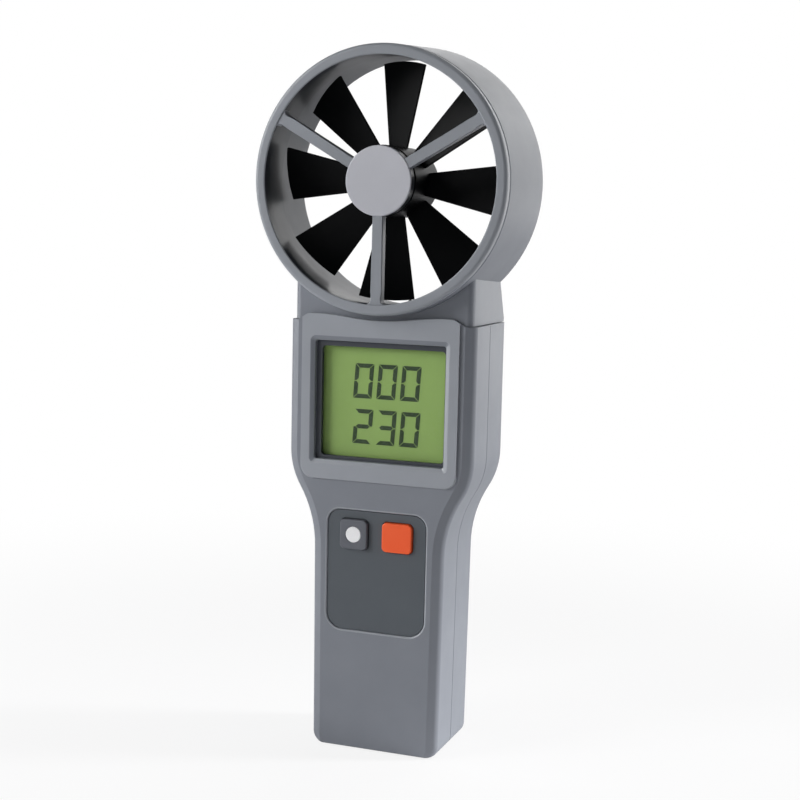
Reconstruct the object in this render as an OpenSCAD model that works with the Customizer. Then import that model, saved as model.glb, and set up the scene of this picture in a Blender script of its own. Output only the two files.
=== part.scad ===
// Handheld vane anemometer: a caged impeller head on a two-shell body with a display.
// Millimetres. The front faces -Y, +X is to the right seen from the front, +Z is up.
// Origin: on the floor under the middle of the overall box. The meter stands on its base.

/* [Overall] */
// Height from the base to the top of the vane ring
total_height = 269; // [258:1:280]
// Depth from the front of the guard rim to the back of the body
overall_depth = 44; // [42:0.5:48]
// How far the guard rim stands in front of the display surround
rim_reach = 5.6; // [4:0.1:6.4]
// Width of the seam lines between outer shells
seam_gap = 0.2; // [0.1:0.05:0.4]
// Clearance round fixed pieces that drop into pockets
fit_gap = 0.1; // [0.05:0.01:0.2]
// Radial clearance of pins and shafts that turn
running_gap = 0.05; // [0.02:0.01:0.08]
// Radial clearance of pressed-in pieces
press_gap = 0.02; // [0.01:0.01:0.04]

/* [Body shells] */
// Width of the handle at the base
handle_base_w = 51.4; // [48:0.2:56]
// Width of the handle where the flare begins
handle_top_w = 52.8; // [50:0.2:58]
// Width of the display part
head_w = 74; // [72:0.5:80]
// Height of the side seam between the body and the vane head
body_top_z = 165.2; // [164.6:0.1:165.6]
// Height where the sides begin to flare
flare_z = 78; // [72:0.5:80]
// Radius of the hollow part of the flare
flare_lower_r = 44; // [36:1:48]
// Radius of the round part of the flare
flare_upper_r = 28; // [22:1:30]
// Corner radius of the base seen from the front
base_corner_r = 4.5; // [3:0.5:8]
// Wall thickness of both shells
wall = 2.2; // [1.8:0.1:2.4]
// Depth of the rear shell, from the parting line to the back
rear_shell_depth = 19; // [17:0.5:21]
// Width of the sloped edge along the front of the sides
front_edge_w = 3.8; // [3:0.1:4.4]
// Depth of the sloped edge along the front of the sides
front_edge_h = 2; // [1.4:0.1:2.6]
// Width of the small edge along the front of the base
base_edge_w = 1; // [0.6:0.1:1.6]
// Rounding of the back edges on the handle
rear_edge_r = 2.5; // [1.5:0.5:5]
// Rounding of the back edges on the display part
rear_head_edge_r = 1.25; // [0.75:0.25:3]
// Thickness of the aligning lip inside the parting line
lip_wall = 0.9; // [0.6:0.1:1]
// Height of the aligning lip
lip_h = 1.5; // [1:0.1:2.5]

/* [Display surround] */
// Step from the handle face up to the display surround
surround_step = 0.9; // [0.5:0.1:1.4]
// Width of the raised surround
surround_w = 62.6; // [60:0.2:64]
// Height of the lower edge of the surround
surround_z = 105; // [103:0.5:107]
// Corner radius of the surround
surround_r = 5; // [3:0.5:7]
// Seam height in the middle, where it follows the vane ring
seam_mid_z = 166; // [165.8:0.1:166.2]
// Rise of the seam from the middle to its two crests
seam_crest = 1.9; // [1:0.1:2.2]
// Distance of the crests from the middle
seam_crest_x = 26; // [22:0.5:27]
// Distance from the middle to the step down at each side
seam_step_x = 31; // [30:0.2:31.4]
// Width of the step down
seam_step_w = 6; // [4:0.2:6]
// Width of the display recess at the surface
recess_w = 55.4; // [54:0.2:56.4]
// Lower edge of the display recess
recess_z = 110.9; // [110:0.1:112]
// Height of the display recess at the surface
recess_h = 48.6; // [47:0.2:49]
// Width of the sloped edge of the recess
recess_edge_w = 1.7; // [1.2:0.1:2]
// Depth of the sloped edge of the recess
recess_edge_h = 0.8; // [0.5:0.1:1.2]
// Corner radius of the recess
recess_r = 1.6; // [1.2:0.1:2.4]

/* [Display] */
// Depth of the bezel frame below the surround
bezel_depth = 2.5; // [2.2:0.1:2.8]
// Thickness of the bezel frame, front to back
bezel_t = 3; // [2.4:0.1:3.4]
// How far the bezel reaches behind the recess on every side
bezel_flange = 2.4; // [1.8:0.1:2.5]
// Left edge of the view through the bezel, from the middle
view_left = 23.9; // [23:0.1:24.4]
// Right edge of the view through the bezel, from the middle
view_right = 25.3; // [24:0.1:25.5]
// Lower edge of the view
view_z = 113.9; // [113.4:0.1:114.6]
// Height of the view
view_h = 41.8; // [40:0.2:42.4]
// Corner radius of the view
view_r = 1.4; // [0.8:0.1:2]
// Thickness of the clear window
window_t = 1; // [0.8:0.1:1.2]
// How far the window rests on its ledge round the view
window_ledge = 1.2; // [0.8:0.1:1.4]
// Thickness of the printed digits
segment_t = 0.1; // [0.08:0.01:0.12]
// Width of the display glass
glass_w = 54; // [53:0.2:54.4]
// Height of the display glass
glass_h = 48; // [47.5:0.1:48.4]
// Thickness of the display glass
glass_t = 2.2; // [1.8:0.1:2.6]
// Height of a digit
digit_h = 13.2; // [12:0.1:14.4]
// Width of a digit
digit_w = 7.5; // [7:0.1:8.2]
// Distance from digit to digit
digit_pitch = 9.45; // [9:0.05:9.8]
// Width of a segment
segment_w = 1.6; // [1.2:0.05:1.8]
// Gap between neighbouring segments
segment_gap = 0.25; // [0.2:0.05:0.5]
// Slant of the digits in degrees
digit_slant = 4; // [0:0.5:8]
// Middle of the digits, from the middle of the body
digit_mid_x = 0.9; // [0:0.05:2.4]
// Lower edge of the lower row of digits
digit_z = 118.8; // [116.5:0.1:119.5]
// Distance between the two rows of digits
row_pitch = 17.35; // [16:0.05:17.8]

/* [Keys] */
// Width of the key panel
panel_w = 39.4; // [37:0.2:40]
// Lower edge of the key panel
panel_z = 47.3; // [46:0.1:49]
// Height of the key panel
panel_h = 46.3; // [45:0.1:48]
// Corner radius at the top of the panel
panel_top_r = 5; // [3:0.5:7]
// Corner radius at the bottom of the panel
panel_base_r = 6.4; // [3:0.2:8]
// Depth of the panel face below the handle face
panel_depth = 0.5; // [0.3:0.1:0.6]
// Thickness of the key panel
panel_t = 1.1; // [0.8:0.1:1.1]
// Gap round the key panel
panel_gap = 0.15; // [0.1:0.05:0.3]
// Height of the middle of the keys
key_z = 84.6; // [83:0.1:86]
// Middle of the mode key, to the left
mode_x = 8.9; // [7.6:0.1:9.2]
// Width of the mode key
mode_w = 11; // [10:0.1:12]
// Height of the mode key
mode_h = 11.4; // [10:0.1:12.4]
// How far the mode key stands out of the panel
mode_proud = 1.7; // [1.2:0.1:2]
// Diameter of the white disc in the mode key
dot_d = 6; // [5:0.1:7]
// Thickness of the white disc
dot_t = 1; // [0.6:0.1:1.2]
// Middle of the power key, to the right
power_x = 8.5; // [8:0.1:9.6]
// Width of the power key
power_w = 12; // [11:0.1:13]
// Height of the power key
power_h = 11.2; // [10:0.1:12.4]
// How far the power key stands out of the panel
power_proud = 1.3; // [1:0.1:2]
// Corner radius of the keys
key_r = 1.8; // [1:0.1:3]
// Gap round each key
key_gap = 0.3; // [0.2:0.05:0.4]
// How far the key's flange reaches past the key
key_flange = 0.9; // [0.7:0.1:1.1]
// Thickness of the key's flange
key_flange_t = 1; // [0.8:0.1:1.4]
// Travel of the keys
key_travel = 0.8; // [0.4:0.1:1]
// Diameter of the key's rear post
key_post_d = 4; // [3.4:0.1:5]
// Diameter of the switch plunger
plunger_d = 3.2; // [2.6:0.1:3.4]
// Length of the switch plunger
plunger_l = 2.4; // [2:0.1:2.6]
// Side of the square switch housing
switch_w = 6; // [5.6:0.1:7]
// Front to back depth of the switch housing
switch_t = 4; // [3.6:0.1:4.2]

/* [Circuit board] */
// Distance from the parting line forward to the back of the board
board_back = 6; // [5.6:0.1:6.4]
// Thickness of the board
board_t = 1.6; // [1.4:0.1:1.8]
// Width of the board behind the display
board_w = 53.6; // [52:0.2:54]
// How far the light guide stays inside the board at each side
light_in = 0.5; // [0.2:0.1:1.5]
// Width of the board in the handle
board_tail_w = 37; // [35:0.2:38]
// Lower end of the board
board_z = 71.5; // [71:0.1:73]
// Height where the board widens
board_step_z = 103; // [102:0.1:103]
// Upper end of the board
board_top_z = 159.6; // [159:0.1:160]
// Diameter of the screw posts under the board
post_d = 4.8; // [4.4:0.1:5.2]
// Side distance of the two lower board screws
board_screw_x = 15.5; // [15.2:0.1:15.8]
// Height of the two lower board screws
board_screw_z = 74.5; // [74:0.1:74.6]
// Side distance of the two upper board screws
board_screw_upper_x = 23; // [22:0.1:23.4]
// Height of the two upper board screws
board_screw_upper_z = 106.8; // [106:0.1:107]
// Diameter of the buzzer
buzzer_d = 12; // [9:0.5:14]
// Height of the buzzer above the board
buzzer_t = 5.5; // [4:0.5:6.5]
// Height of the middle of the buzzer
buzzer_z = 95; // [90:0.5:96]
// Side of the controller chip
chip_w = 10; // [7:0.5:14]
// Thickness of the controller chip
chip_t = 1.4; // [1:0.1:1.8]
// Height of the middle of the controller chip
chip_z = 128; // [120:0.5:136]
// Width of the conductive strips between display and board
strip_w = 2; // [1.6:0.1:2.2]
// Width of the lead connector
connector_w = 9; // [8.4:0.1:10]
// Height of the lead connector
connector_h = 6; // [5:0.1:7]
// Thickness of the lead connector
connector_t = 5.4; // [5.2:0.1:6]
// Height of the lower edge of the lead connector
connector_z = 150; // [146:0.5:151]

/* [Screws] */
// Diameter of the screw shanks
screw_d = 2.4; // [2:0.1:2.6]
// Diameter of the screw heads
screw_head_d = 5; // [4.4:0.1:5.2]
// Thickness of the screw heads
screw_head_t = 1.8; // [1.4:0.1:2.2]
// Depth of the screw heads below the back
screw_sink = 0.6; // [0.4:0.1:1]
// Diameter of the screw bosses
boss_d = 7; // [6.4:0.1:7.4]
// Length of screw thread in a front boss
screw_bite = 9; // [6:0.5:11]
// Side distance of the top case screws
case_screw_top_x = 31.8; // [31.6:0.1:32]
// Height of the top case screws
case_screw_top_z = 159.4; // [158:0.1:159.6]
// Side distance of the middle case screws
case_screw_mid_x = 30.6; // [30.4:0.1:30.8]
// Height of the middle case screws
case_screw_mid_z = 105; // [104:0.1:105.4]
// Side distance of the lower case screws
case_screw_low_x = 16; // [15:0.1:16.4]
// Height of the lower case screws
case_screw_low_z = 67; // [66.8:0.1:67.2]
// Side distance of the vane head screws
head_screw_x = 17; // [16.6:0.1:19]
// Height of the vane head screws
head_screw_z = 157.5; // [156:0.1:158.5]
// Thickness of the vane head screws' low heads
low_head_t = 1.2; // [0.8:0.1:1.5]
// Length of the vane head screws below the head
head_screw_l = 10; // [7:0.5:11]

/* [Vane head] */
// Radius of the vane ring at the back
ring_rear_r = 51.6; // [51:0.1:52.4]
// Radius of the vane ring behind the guard
ring_front_r = 49.3; // [49.1:0.1:50]
// Length of the vane head from the guard rim to the back of the ring
ring_depth = 40; // [36:0.5:41]
// Radius of the airway at the front
bore_front_r = 46; // [45.8:0.1:46.4]
// Radius of the airway at the back
bore_rear_r = 46.6; // [46.2:0.1:47.2]
// Rounding of the ring's back edges
ring_edge_r = 1.4; // [0.8:0.1:2]
// How far the neck's face lies behind the display surround
neck_set_back = 2.4; // [2.2:0.1:3]
// Width of the neck at the front
neck_w = 71; // [69:0.2:72]
// Width of the neck at the back
neck_rear_w = 72.8; // [71:0.2:73.6]
// Rounding of the neck's front corners
neck_corner_r = 2.6; // [1.5:0.1:3.5]
// Height where the neck's back begins to lean forward
neck_lean_z = 167; // [166.5:0.5:169]
// Height where the neck's back meets the ring
neck_top_z = 181; // [180:0.5:184]
// Wall thickness of the neck
neck_wall = 2.6; // [2.2:0.1:3]
// Width of the tongue that plugs into the body
tongue_w = 48; // [46:0.5:50]
// Length of the tongue
tongue_l = 13; // [11:0.5:13.5]
// Front to back depth of the tongue
tongue_t = 14.2; // [13.6:0.1:14.4]
// Width of the passage through the tongue
tongue_bore_w = 22; // [18:0.5:23]
// Wall in front of and behind that passage
tongue_wall = 2.6; // [2.2:0.1:3]

/* [Guard] */
// Outer radius of the guard rim
rim_r = 49.15; // [48.8:0.05:49.3]
// Radius of the opening in the guard
opening_r = 45.1; // [44.9:0.1:45.4]
// Depth of the guard rim
rim_depth = 3.8; // [3.2:0.1:4.2]
// Rounding of the rim's outer front edge
rim_edge_r = 1.7; // [1:0.1:1.9]
// Rounding of the rim's inner front edge
rim_bore_edge_r = 0.5; // [0.2:0.1:1.5]
// Wall of the collar that plugs the guard into the ring
collar_wall = 1.2; // [1:0.1:1.3]
// Length of that collar
collar_l = 3; // [2:0.1:3.4]
// Number of spokes
spoke_count = 3; // [3:1:5]
// Width of a spoke
spoke_w = 4.2; // [3.8:0.1:5]
// Depth of a spoke, front to back
spoke_t = 3; // [2.6:0.1:3]
// Radius of the fillet where a spoke meets the rim
spoke_fillet_r = 1.6; // [1:0.1:4.5]
// Set back of the spokes from the hub's face
spoke_set_back = 0.4; // [0.2:0.1:1]
// Radius of the hub
hub_r = 12.85; // [12.4:0.05:13.5]
// Set back of the hub's face from the front of the rim
hub_set_back = 0.9; // [0.6:0.1:1.4]
// Depth of the hub cup, front to back
hub_depth = 3.9; // [3.6:0.1:4.4]
// Thickness of the hub's face
hub_face_t = 1.8; // [1.4:0.1:1.9]
// Wall round the hub cup
hub_wall = 1.6; // [1.2:0.1:1.8]
// Rounding of the hub's front edge
hub_edge_r = 0.6; // [0.3:0.1:0.9]
// Outer radius of the bearing sleeve
sleeve_r = 4.4; // [4:0.1:4.6]
// Length of the bearing sleeve behind the hub's face
sleeve_l = 20.4; // [15:0.1:20.9]

/* [Impeller] */
// Number of blades
blade_count = 8; // [6:1:9]
// Radius of the blade tips
tip_r = 44.4; // [43.8:0.1:44.6]
// Blade width at the drum
blade_root_w = 9; // [7:0.5:10]
// Blade width at the tip
blade_tip_w = 22; // [20:0.5:24.5]
// Angle of the blades from the plane of rotation
blade_pitch = 24; // [18:1:28]
// Turn of the first blade from straight up, clockwise from the front
blade_phase = 3.5; // [0:0.5:10]
// Thickness of a blade
blade_t = 1; // [0.8:0.1:1.4]
// Distance of the blades' middle behind the hub's face
blade_set_back = 18.5; // [14.5:0.5:20]
// Outer radius of the drum
drum_r = 13.2; // [12.2:0.1:13.8]
// Wall of the drum
drum_wall = 1.3; // [1:0.1:1.6]
// Length of the drum
drum_l = 25.2; // [24.6:0.1:28]
// Gap between the hub cup and the drum
drum_gap = 0.5; // [0.4:0.1:0.8]
// Thickness of the drum's front web
front_web_t = 2.4; // [2:0.1:2.8]
// Distance of the front web behind the drum's front edge
front_web_in = 2.2; // [2:0.1:3]
// Gap between the front web and the bearing sleeve
web_gap = 0.8; // [0.5:0.1:1]
// Thickness of the drum's closed back
back_web_t = 1.6; // [1.2:0.1:2]
// Radius of the boss that holds the shaft
boss_r = 3.4; // [2.8:0.1:4]
// Length of that boss
boss_l = 5; // [3:0.1:5]
// Diameter of the shaft
shaft_d = 2; // [1.5:0.1:2.4]
// Outer diameter of the two bearings
bearing_d = 6; // [5:0.1:6.4]
// Width of the two bearings
bearing_w = 2.5; // [2:0.1:3]
// Diameter of the clip on the shaft's front end
clip_d = 4.4; // [4:0.1:4.8]
// Thickness of that clip
clip_t = 0.5; // [0.4:0.05:0.6]
// Diameter of the two magnets
magnet_d = 3; // [2.4:0.1:3.4]
// Thickness of the magnets
magnet_t = 1.6; // [1.2:0.1:1.8]
// Radius on which the magnets and the sensor lie
sensor_r = 8.2; // [7.9:0.1:8.6]
// Thickness of the pickup board in the hub
pickup_t = 0.8; // [0.6:0.1:1]
// Height of the sensor on the pickup board
sensor_t = 1; // [0.8:0.1:1]
// Side of the sensor
sensor_w = 3; // [2:0.1:3.4]

/* [Leads and thermistor] */
// Width of the flat leads
lead_w = 2; // [1.6:0.1:2.2]
// Thickness of the flat leads
lead_t = 0.5; // [0.4:0.05:0.6]
// Clearance beside a lead in its groove
lead_gap = 0.1; // [0.05:0.01:0.2]
// Distance of the pickup lead's way down behind the hub's face
lead_set_back = 11; // [10:0.1:12]
// Side distance of the thermistor and its lead
thermistor_x = 3.2; // [3:0.1:3.6]
// Distance of the thermistor in front of the ring's back
thermistor_in = 10; // [8:0.1:11]
// Diameter of the thermistor
thermistor_d = 2.4; // [2:0.1:2.8]
// How far the thermistor reaches into the airway
thermistor_reach = 1.6; // [1:0.1:2.4]
// Diameter of the battery leads
battery_lead_d = 1.2; // [1:0.1:1.4]

/* [Battery bay] */
// Number of cells side by side
cell_count = 3; // [2:1:3]
// Diameter of a cell
cell_d = 10.5; // [10:0.1:10.8]
// Length of a cell with its nub
cell_l = 44.5; // [43:0.1:44.8]
// Diameter of the cell's nub
nub_d = 3.8; // [3:0.1:4.4]
// Height of the cell's nub
nub_h = 0.8; // [0.5:0.1:1.2]
// Distance from cell to cell
cell_pitch = 11.6; // [11:0.1:11.8]
// Inner width of the battery bay
bay_w = 36; // [35.4:0.1:36.4]
// Lower end of the inside of the bay
bay_z = 10.6; // [10.4:0.1:11]
// Inner length of the bay
bay_l = 51; // [50.8:0.1:51.6]
// Inner depth of the bay from the door
bay_depth = 11.9; // [11.6:0.1:12.4]
// Wall of the bay
bay_wall = 1.6; // [1.4:0.1:1.8]
// Thickness of a contact plate
contact_t = 0.4; // [0.3:0.05:0.6]
// Side of a contact plate
contact_w = 8.6; // [8:0.1:9]
// Wire diameter of the contact springs
spring_wire = 0.8; // [0.6:0.1:0.9]
// Diameter of the spring's wide end
spring_d = 7; // [6:0.1:7.6]
// Diameter of the spring's narrow end
spring_tip_d = 4; // [3:0.1:5]
// Turns of a spring
spring_turns = 4; // [3:1:5]

/* [Battery door] */
// Width of the door
door_w = 38.9; // [38.4:0.1:39]
// Height of the door's hinge axis
hinge_z = 7; // [6.8:0.1:7.4]
// Gap round the door
door_gap = 0.25; // [0.2:0.05:0.35]
// Height of the door's upper edge
door_top_z = 64; // [63.9:0.1:64.2]
// Clearance between the door and its ledge
door_seat_gap = 0.1; // [0.05:0.01:0.15]
// Corner radius of the door's upper corners
door_corner_r = 2; // [1:0.5:4]
// Radius of the hinge knuckle
knuckle_r = 1.4; // [1.2:0.05:1.5]
// Radius of the hinge pintles
pintle_r = 0.9; // [0.7:0.05:1]
// Length of a hinge pintle
pintle_l = 1.6; // [1.2:0.1:1.8]
// Width of the finger grip in the door
grip_w = 16; // [12:0.5:20]
// Depth of the finger grip
grip_depth = 0.6; // [0.4:0.1:0.9]
// Number of ribs in the finger grip
grip_ribs = 4; // [2:1:5]
// Thickness of the foam pad inside the door
pad_t = 0.5; // [0.3:0.1:0.6]

/* [Tripod bush] */
// Height of the tripod bush
bush_z = 92; // [84:0.5:94]
// Outer diameter of the bush
bush_d = 9.6; // [8.6:0.1:10]
// Length of the bush
bush_l = 9; // [8:0.5:10]
// Diameter of its threaded hole
bush_bore_d = 5.1; // [4:0.1:6.4]
// Depth of its threaded hole
bush_bore_l = 8; // [6:0.5:8]
// Set back of the bush below the back
bush_sink = 0.2; // [0.1:0.1:0.5]

/* [Hidden] */
$fn = 48;

// planes from front to back
front_y = -overall_depth / 2;
rear_y = overall_depth / 2;
surround_y = front_y + rim_reach;
face_y = surround_y + surround_step;
parting_y = rear_y - rear_shell_depth;
wall_back_y = face_y + wall;
back_wall_y = rear_y - wall;
tiny = 0.01;
// overlap of pieces that are one solid
bond = 0.3;

// outline of the body seen from the front
half_base = handle_base_w / 2;
half_top = handle_top_w / 2;
half_head = head_w / 2;
flare_angle = acos(1 - (half_head - half_top) / (flare_lower_r + flare_upper_r));
flare_end_z = flare_z + (flare_lower_r + flare_upper_r) * sin(flare_angle);
corner_steps = 6;
flare_steps = 9;
round_steps = 4;
crest_z = seam_mid_z + seam_crest;
surround_h = crest_z + surround_r + 1 - surround_z;

// vane head
ring_z = total_height - ring_rear_r;
ring_y = front_y + rim_depth + seam_gap / 2;
ring_rear_y = front_y + ring_depth;
hub_y = front_y + hub_set_back;
hub_inside_y = hub_y + hub_face_t;
hub_back_y = hub_y + hub_depth;
spoke_y = hub_y + spoke_set_back;
spoke_back_y = spoke_y + spoke_t;
pickup_y = hub_inside_y + pickup_t;
drum_y = hub_back_y + drum_gap;
drum_back_y = drum_y + drum_l;
front_web_y = drum_y + front_web_in;
boss_y = drum_back_y - back_web_t - boss_l;
clip_y = hub_inside_y + fit_gap * 3;
front_bearing_y = clip_y + clip_t + fit_gap;
rear_bearing_y = hub_inside_y + sleeve_l - bearing_w;
bearing_bore_r = shaft_d / 2 + running_gap;
web_hole_r = sleeve_r + web_gap;
neck_y = surround_y + neck_set_back;
neck_z = body_top_z + seam_gap;
neck_hollow_z = ring_z - bore_rear_r - neck_wall;
tongue_back_y = back_wall_y - fit_gap;
tongue_y = tongue_back_y - tongue_t;
tongue_z = neck_z - tongue_l;

// display stack
recess_top = recess_z + recess_h;
recess_mid_z = recess_z + recess_h / 2;
open_w = recess_w - 2 * recess_edge_w;
open_h = recess_h - 2 * recess_edge_w;
bezel_y = surround_y + bezel_depth;
glass_y = bezel_y + bezel_t;
bezel_w = open_w + 2 * bezel_flange;
bezel_h = open_h + 2 * bezel_flange;
window_y = glass_y - segment_t - window_t;
view_mid_x = (view_right - view_left) / 2;
view_mid_z = view_z + view_h / 2;
view_w = view_left + view_right;
glass_back_y = glass_y + glass_t;
board_back_y = parting_y - board_back;
board_y = board_back_y - board_t;
strip_in = 0.7;

// keys
panel_y = face_y + panel_depth;
panel_back_y = panel_y + panel_t;
panel_mid_z = panel_z + panel_h / 2;
flange_y = wall_back_y + fit_gap;
flange_back_y = flange_y + key_flange_t;
switch_y = board_y - switch_t;
key_stop_gap = 0.6;
post_back_y = switch_y - key_travel - key_stop_gap;
plunger_play = 0.3;

// screws
pilot_r = screw_d / 2 + press_gap;
screw_hole_r = screw_d / 2 + 3 * fit_gap;
head_seat_y = rear_y - screw_sink - screw_head_t;
low_seat_y = rear_y - low_head_t;
sink_r = screw_head_d / 2 + 2 * fit_gap;
case_screw_spots = [
    for (side = [-1, 1]) each [
        [side * case_screw_top_x, case_screw_top_z],
        [side * case_screw_mid_x, case_screw_mid_z],
        [side * case_screw_low_x, case_screw_low_z]]];
board_screw_spots = [
    for (side = [-1, 1]) each [
        [side * board_screw_x, board_screw_z],
        [side * board_screw_upper_x, board_screw_upper_z]]];
head_screw_spots = [for (side = [-1, 1]) [side * head_screw_x, head_screw_z]];

// battery bay and door
bay_top_z = bay_z + bay_l;
bay_floor_y = back_wall_y - bay_depth;
cell_y = bay_floor_y + fit_gap + cell_d / 2;
cell_top_z = bay_top_z - contact_t;
cell_z = cell_top_z - cell_l;
hinge_y = rear_y - knuckle_r;
door_open_w = door_w + 2 * door_gap;
door_y = back_wall_y + door_seat_gap;
socket_r = pintle_r + running_gap;
socket_block = 1.4;
cell_spots = [for (i = [0 : cell_count - 1]) (i - (cell_count - 1) / 2) * cell_pitch];
tab_w = 2;
tab_l = bay_wall + 1;
tab_gap = 0.1;
tab_y = cell_y;

// way of the pickup lead, from the hub to the connector
groove_w = lead_w + 2 * lead_gap;
lead_top_z = ring_z - bore_front_r - lead_t;
lead_down_y = hub_y + lead_set_back;
lead_bend_z = neck_z + 1;
lead_slot_y = parting_y - 1.6;
lead_plug_depth = 3;
lead_end_z = connector_z + connector_h - lead_plug_depth;
thermistor_y = ring_rear_y - thermistor_in;
slot_x = thermistor_x + lead_w / 2 + 0.6;
slot_t = 1.6;

// ways of the two battery leads, from the bay's tabs to the back of the board
lead_route_x = cell_spots[0];
battery_route = [
    [lead_route_x, tab_y, bay_top_z + tab_l + 0.6],
    [lead_route_x, tab_y - 2, 66],
    [lead_route_x + 2, tab_y - 6, 69],
    [lead_route_x + 4, 4, 72],
    [lead_route_x + 5, 0, 74],
    [lead_route_x + 5.5, board_back_y + 1.4, 76],
    [lead_route_x + 5.5, board_back_y + 0.65, 78],
    [lead_route_x + 5.5, board_back_y + 0.65, 80]];

// ---- shared shapes ----

// outline point: x, z and the inward direction, right side from the base to the top
function side_path() = concat(
    [for (i = [0 : corner_steps]) let (a = 90 * i / corner_steps - 90)
        [half_base - base_corner_r + base_corner_r * cos(a), base_corner_r + base_corner_r * sin(a),
            -cos(a), -sin(a)]],
    [for (i = [0 : flare_steps]) let (a = flare_angle * i / flare_steps)
        [half_top + flare_lower_r * (1 - cos(a)), flare_z + flare_lower_r * sin(a), -cos(a), sin(a)]],
    [for (i = [1 : flare_steps]) let (a = flare_angle * (1 - i / flare_steps))
        [half_head - flare_upper_r * (1 - cos(a)), flare_end_z - flare_upper_r * sin(a), -cos(a), sin(a)]]);

function mirrored(points) = concat(points,
    [for (i = [len(points) - 1 : -1 : 0]) [-points[i][0], points[i][1]]]);

// outline set in by one distance along the sides and another along the base
function outline(side_in, base_in, top_z) = mirrored(concat(
    [for (p = side_path())
        [p[0] + p[2] * side_in, p[1] + p[3] * (p[1] < base_corner_r ? base_in : side_in)]],
    [[half_head - side_in, top_z]]));

// share of the display part at a height: 0 on the handle, 1 above the flare
function head_share(z) = min(1, max(0, (z - flare_z) / (flare_end_z - flare_z)));
function back_edge_r(z) = rear_edge_r + (rear_head_edge_r - rear_edge_r) * head_share(z);

function plane_ring(points, y) = [for (p = points) [p[0], y, p[1]]];

// ring of points on the rounded back edge, at one angle round the edge
function back_ring(angle, top_z) = let (right = concat(
    [for (p = side_path()) let (r = back_edge_r(p[1]), d = r * (1 - cos(angle)))
        [p[0] + p[2] * d, p[1] + p[3] * d, rear_y - r + r * sin(angle)]],
    [let (r = rear_head_edge_r) [half_head - r * (1 - cos(angle)), top_z, rear_y - r + r * sin(angle)]]))
    concat([for (p = right) [p[0], p[2], p[1]]],
        [for (i = [len(right) - 1 : -1 : 0]) [-right[i][0], right[i][2], right[i][1]]]);

// closed solid through mirrored rings of points, given from front to back
module loft(rings) {
    n = len(rings[0]);
    last = len(rings) - 1;
    half = n / 2;
    polyhedron(
        points = [for (ring = rings) each ring],
        faces = concat(
            [for (i = [0 : half - 2], f = [[i, n - 2 - i, i + 1], [i, n - 1 - i, n - 2 - i]]) f],
            [for (k = [0 : last - 1], i = [0 : n - 1]) let (a = k * n + i, b = k * n + (i + 1) % n)
                [a, b, b + n]],
            [for (k = [0 : last - 1], i = [0 : n - 1]) let (a = k * n + i, b = k * n + (i + 1) % n)
                [a, b + n, a + n]],
            [for (i = [0 : half - 2], f = [[i, i + 1, n - 2 - i], [i, n - 2 - i, n - 1 - i]])
                [for (v = f) v + last * n]]),
        convexity = 6);
}

// flat shape drawn in x and z, standing between two y planes
module upright(y0, y1) {
    translate([0, y1, 0]) rotate([90, 0, 0]) linear_extrude(y1 - y0) children();
}

module round_rect(w, h, r) {
    offset(r = r, $fn = 32) square([w - 2 * r, h - 2 * r], center = true);
}

module plate(x, z, w, h, r, y0, y1) {
    upright(y0, y1) translate([x, z]) round_rect(w, h, r);
}

module block(x0, x1, y0, y1, z0, z1) {
    translate([x0, y0, z0]) cube([x1 - x0, y1 - y0, z1 - z0]);
}

// round bar along y
module rod(x, z, r, y0, y1) {
    translate([x, y1, z]) rotate([90, 0, 0]) cylinder(r = r, h = y1 - y0);
}

// turned shape about the impeller's axis, drawn as radius and y
module turned() {
    translate([0, 0, ring_z]) rotate([-90, 0, 0]) rotate_extrude($fn = 120) children();
}

module around_axis(angle) {
    translate([0, 0, ring_z]) rotate([0, angle, 0]) children();
}

function arc(cx, cy, r, from, to) =
    [for (i = [0 : round_steps]) let (a = from + (to - from) * i / round_steps)
        [cx + r * cos(a), cy + r * sin(a)]];

module ring_of(r_in, r_out, y0, y1) {
    turned() translate([r_in, y0]) square([r_out - r_in, y1 - y0]);
}

// ---- vane head ----

function neck_section() = let (slope = (neck_rear_w - neck_w) / 2 / (rear_y - neck_y))
    mirrored(concat(
        [[neck_w / 2 - neck_corner_r, neck_y]],
        arc(neck_w / 2 - neck_corner_r, neck_y + neck_corner_r, neck_corner_r, -90, 0),
        [[neck_rear_w / 2, rear_y]]));

module neck_block(inset, z0, z1) {
    translate([0, 0, z0]) linear_extrude(z1 - z0) offset(delta = -inset) polygon(neck_section());
}

// side view of the neck: upright front, back that leans forward to the ring
module neck_side_view() {
    rotate([90, 0, 90]) linear_extrude(head_w, center = true)
        polygon([[neck_y - 1, neck_z], [rear_y + 1, neck_z], [rear_y, neck_lean_z],
            [ring_rear_y - ring_edge_r, neck_top_z], [ring_rear_y - ring_edge_r, ring_z],
            [neck_y - 1, ring_z]]);
}

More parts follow.
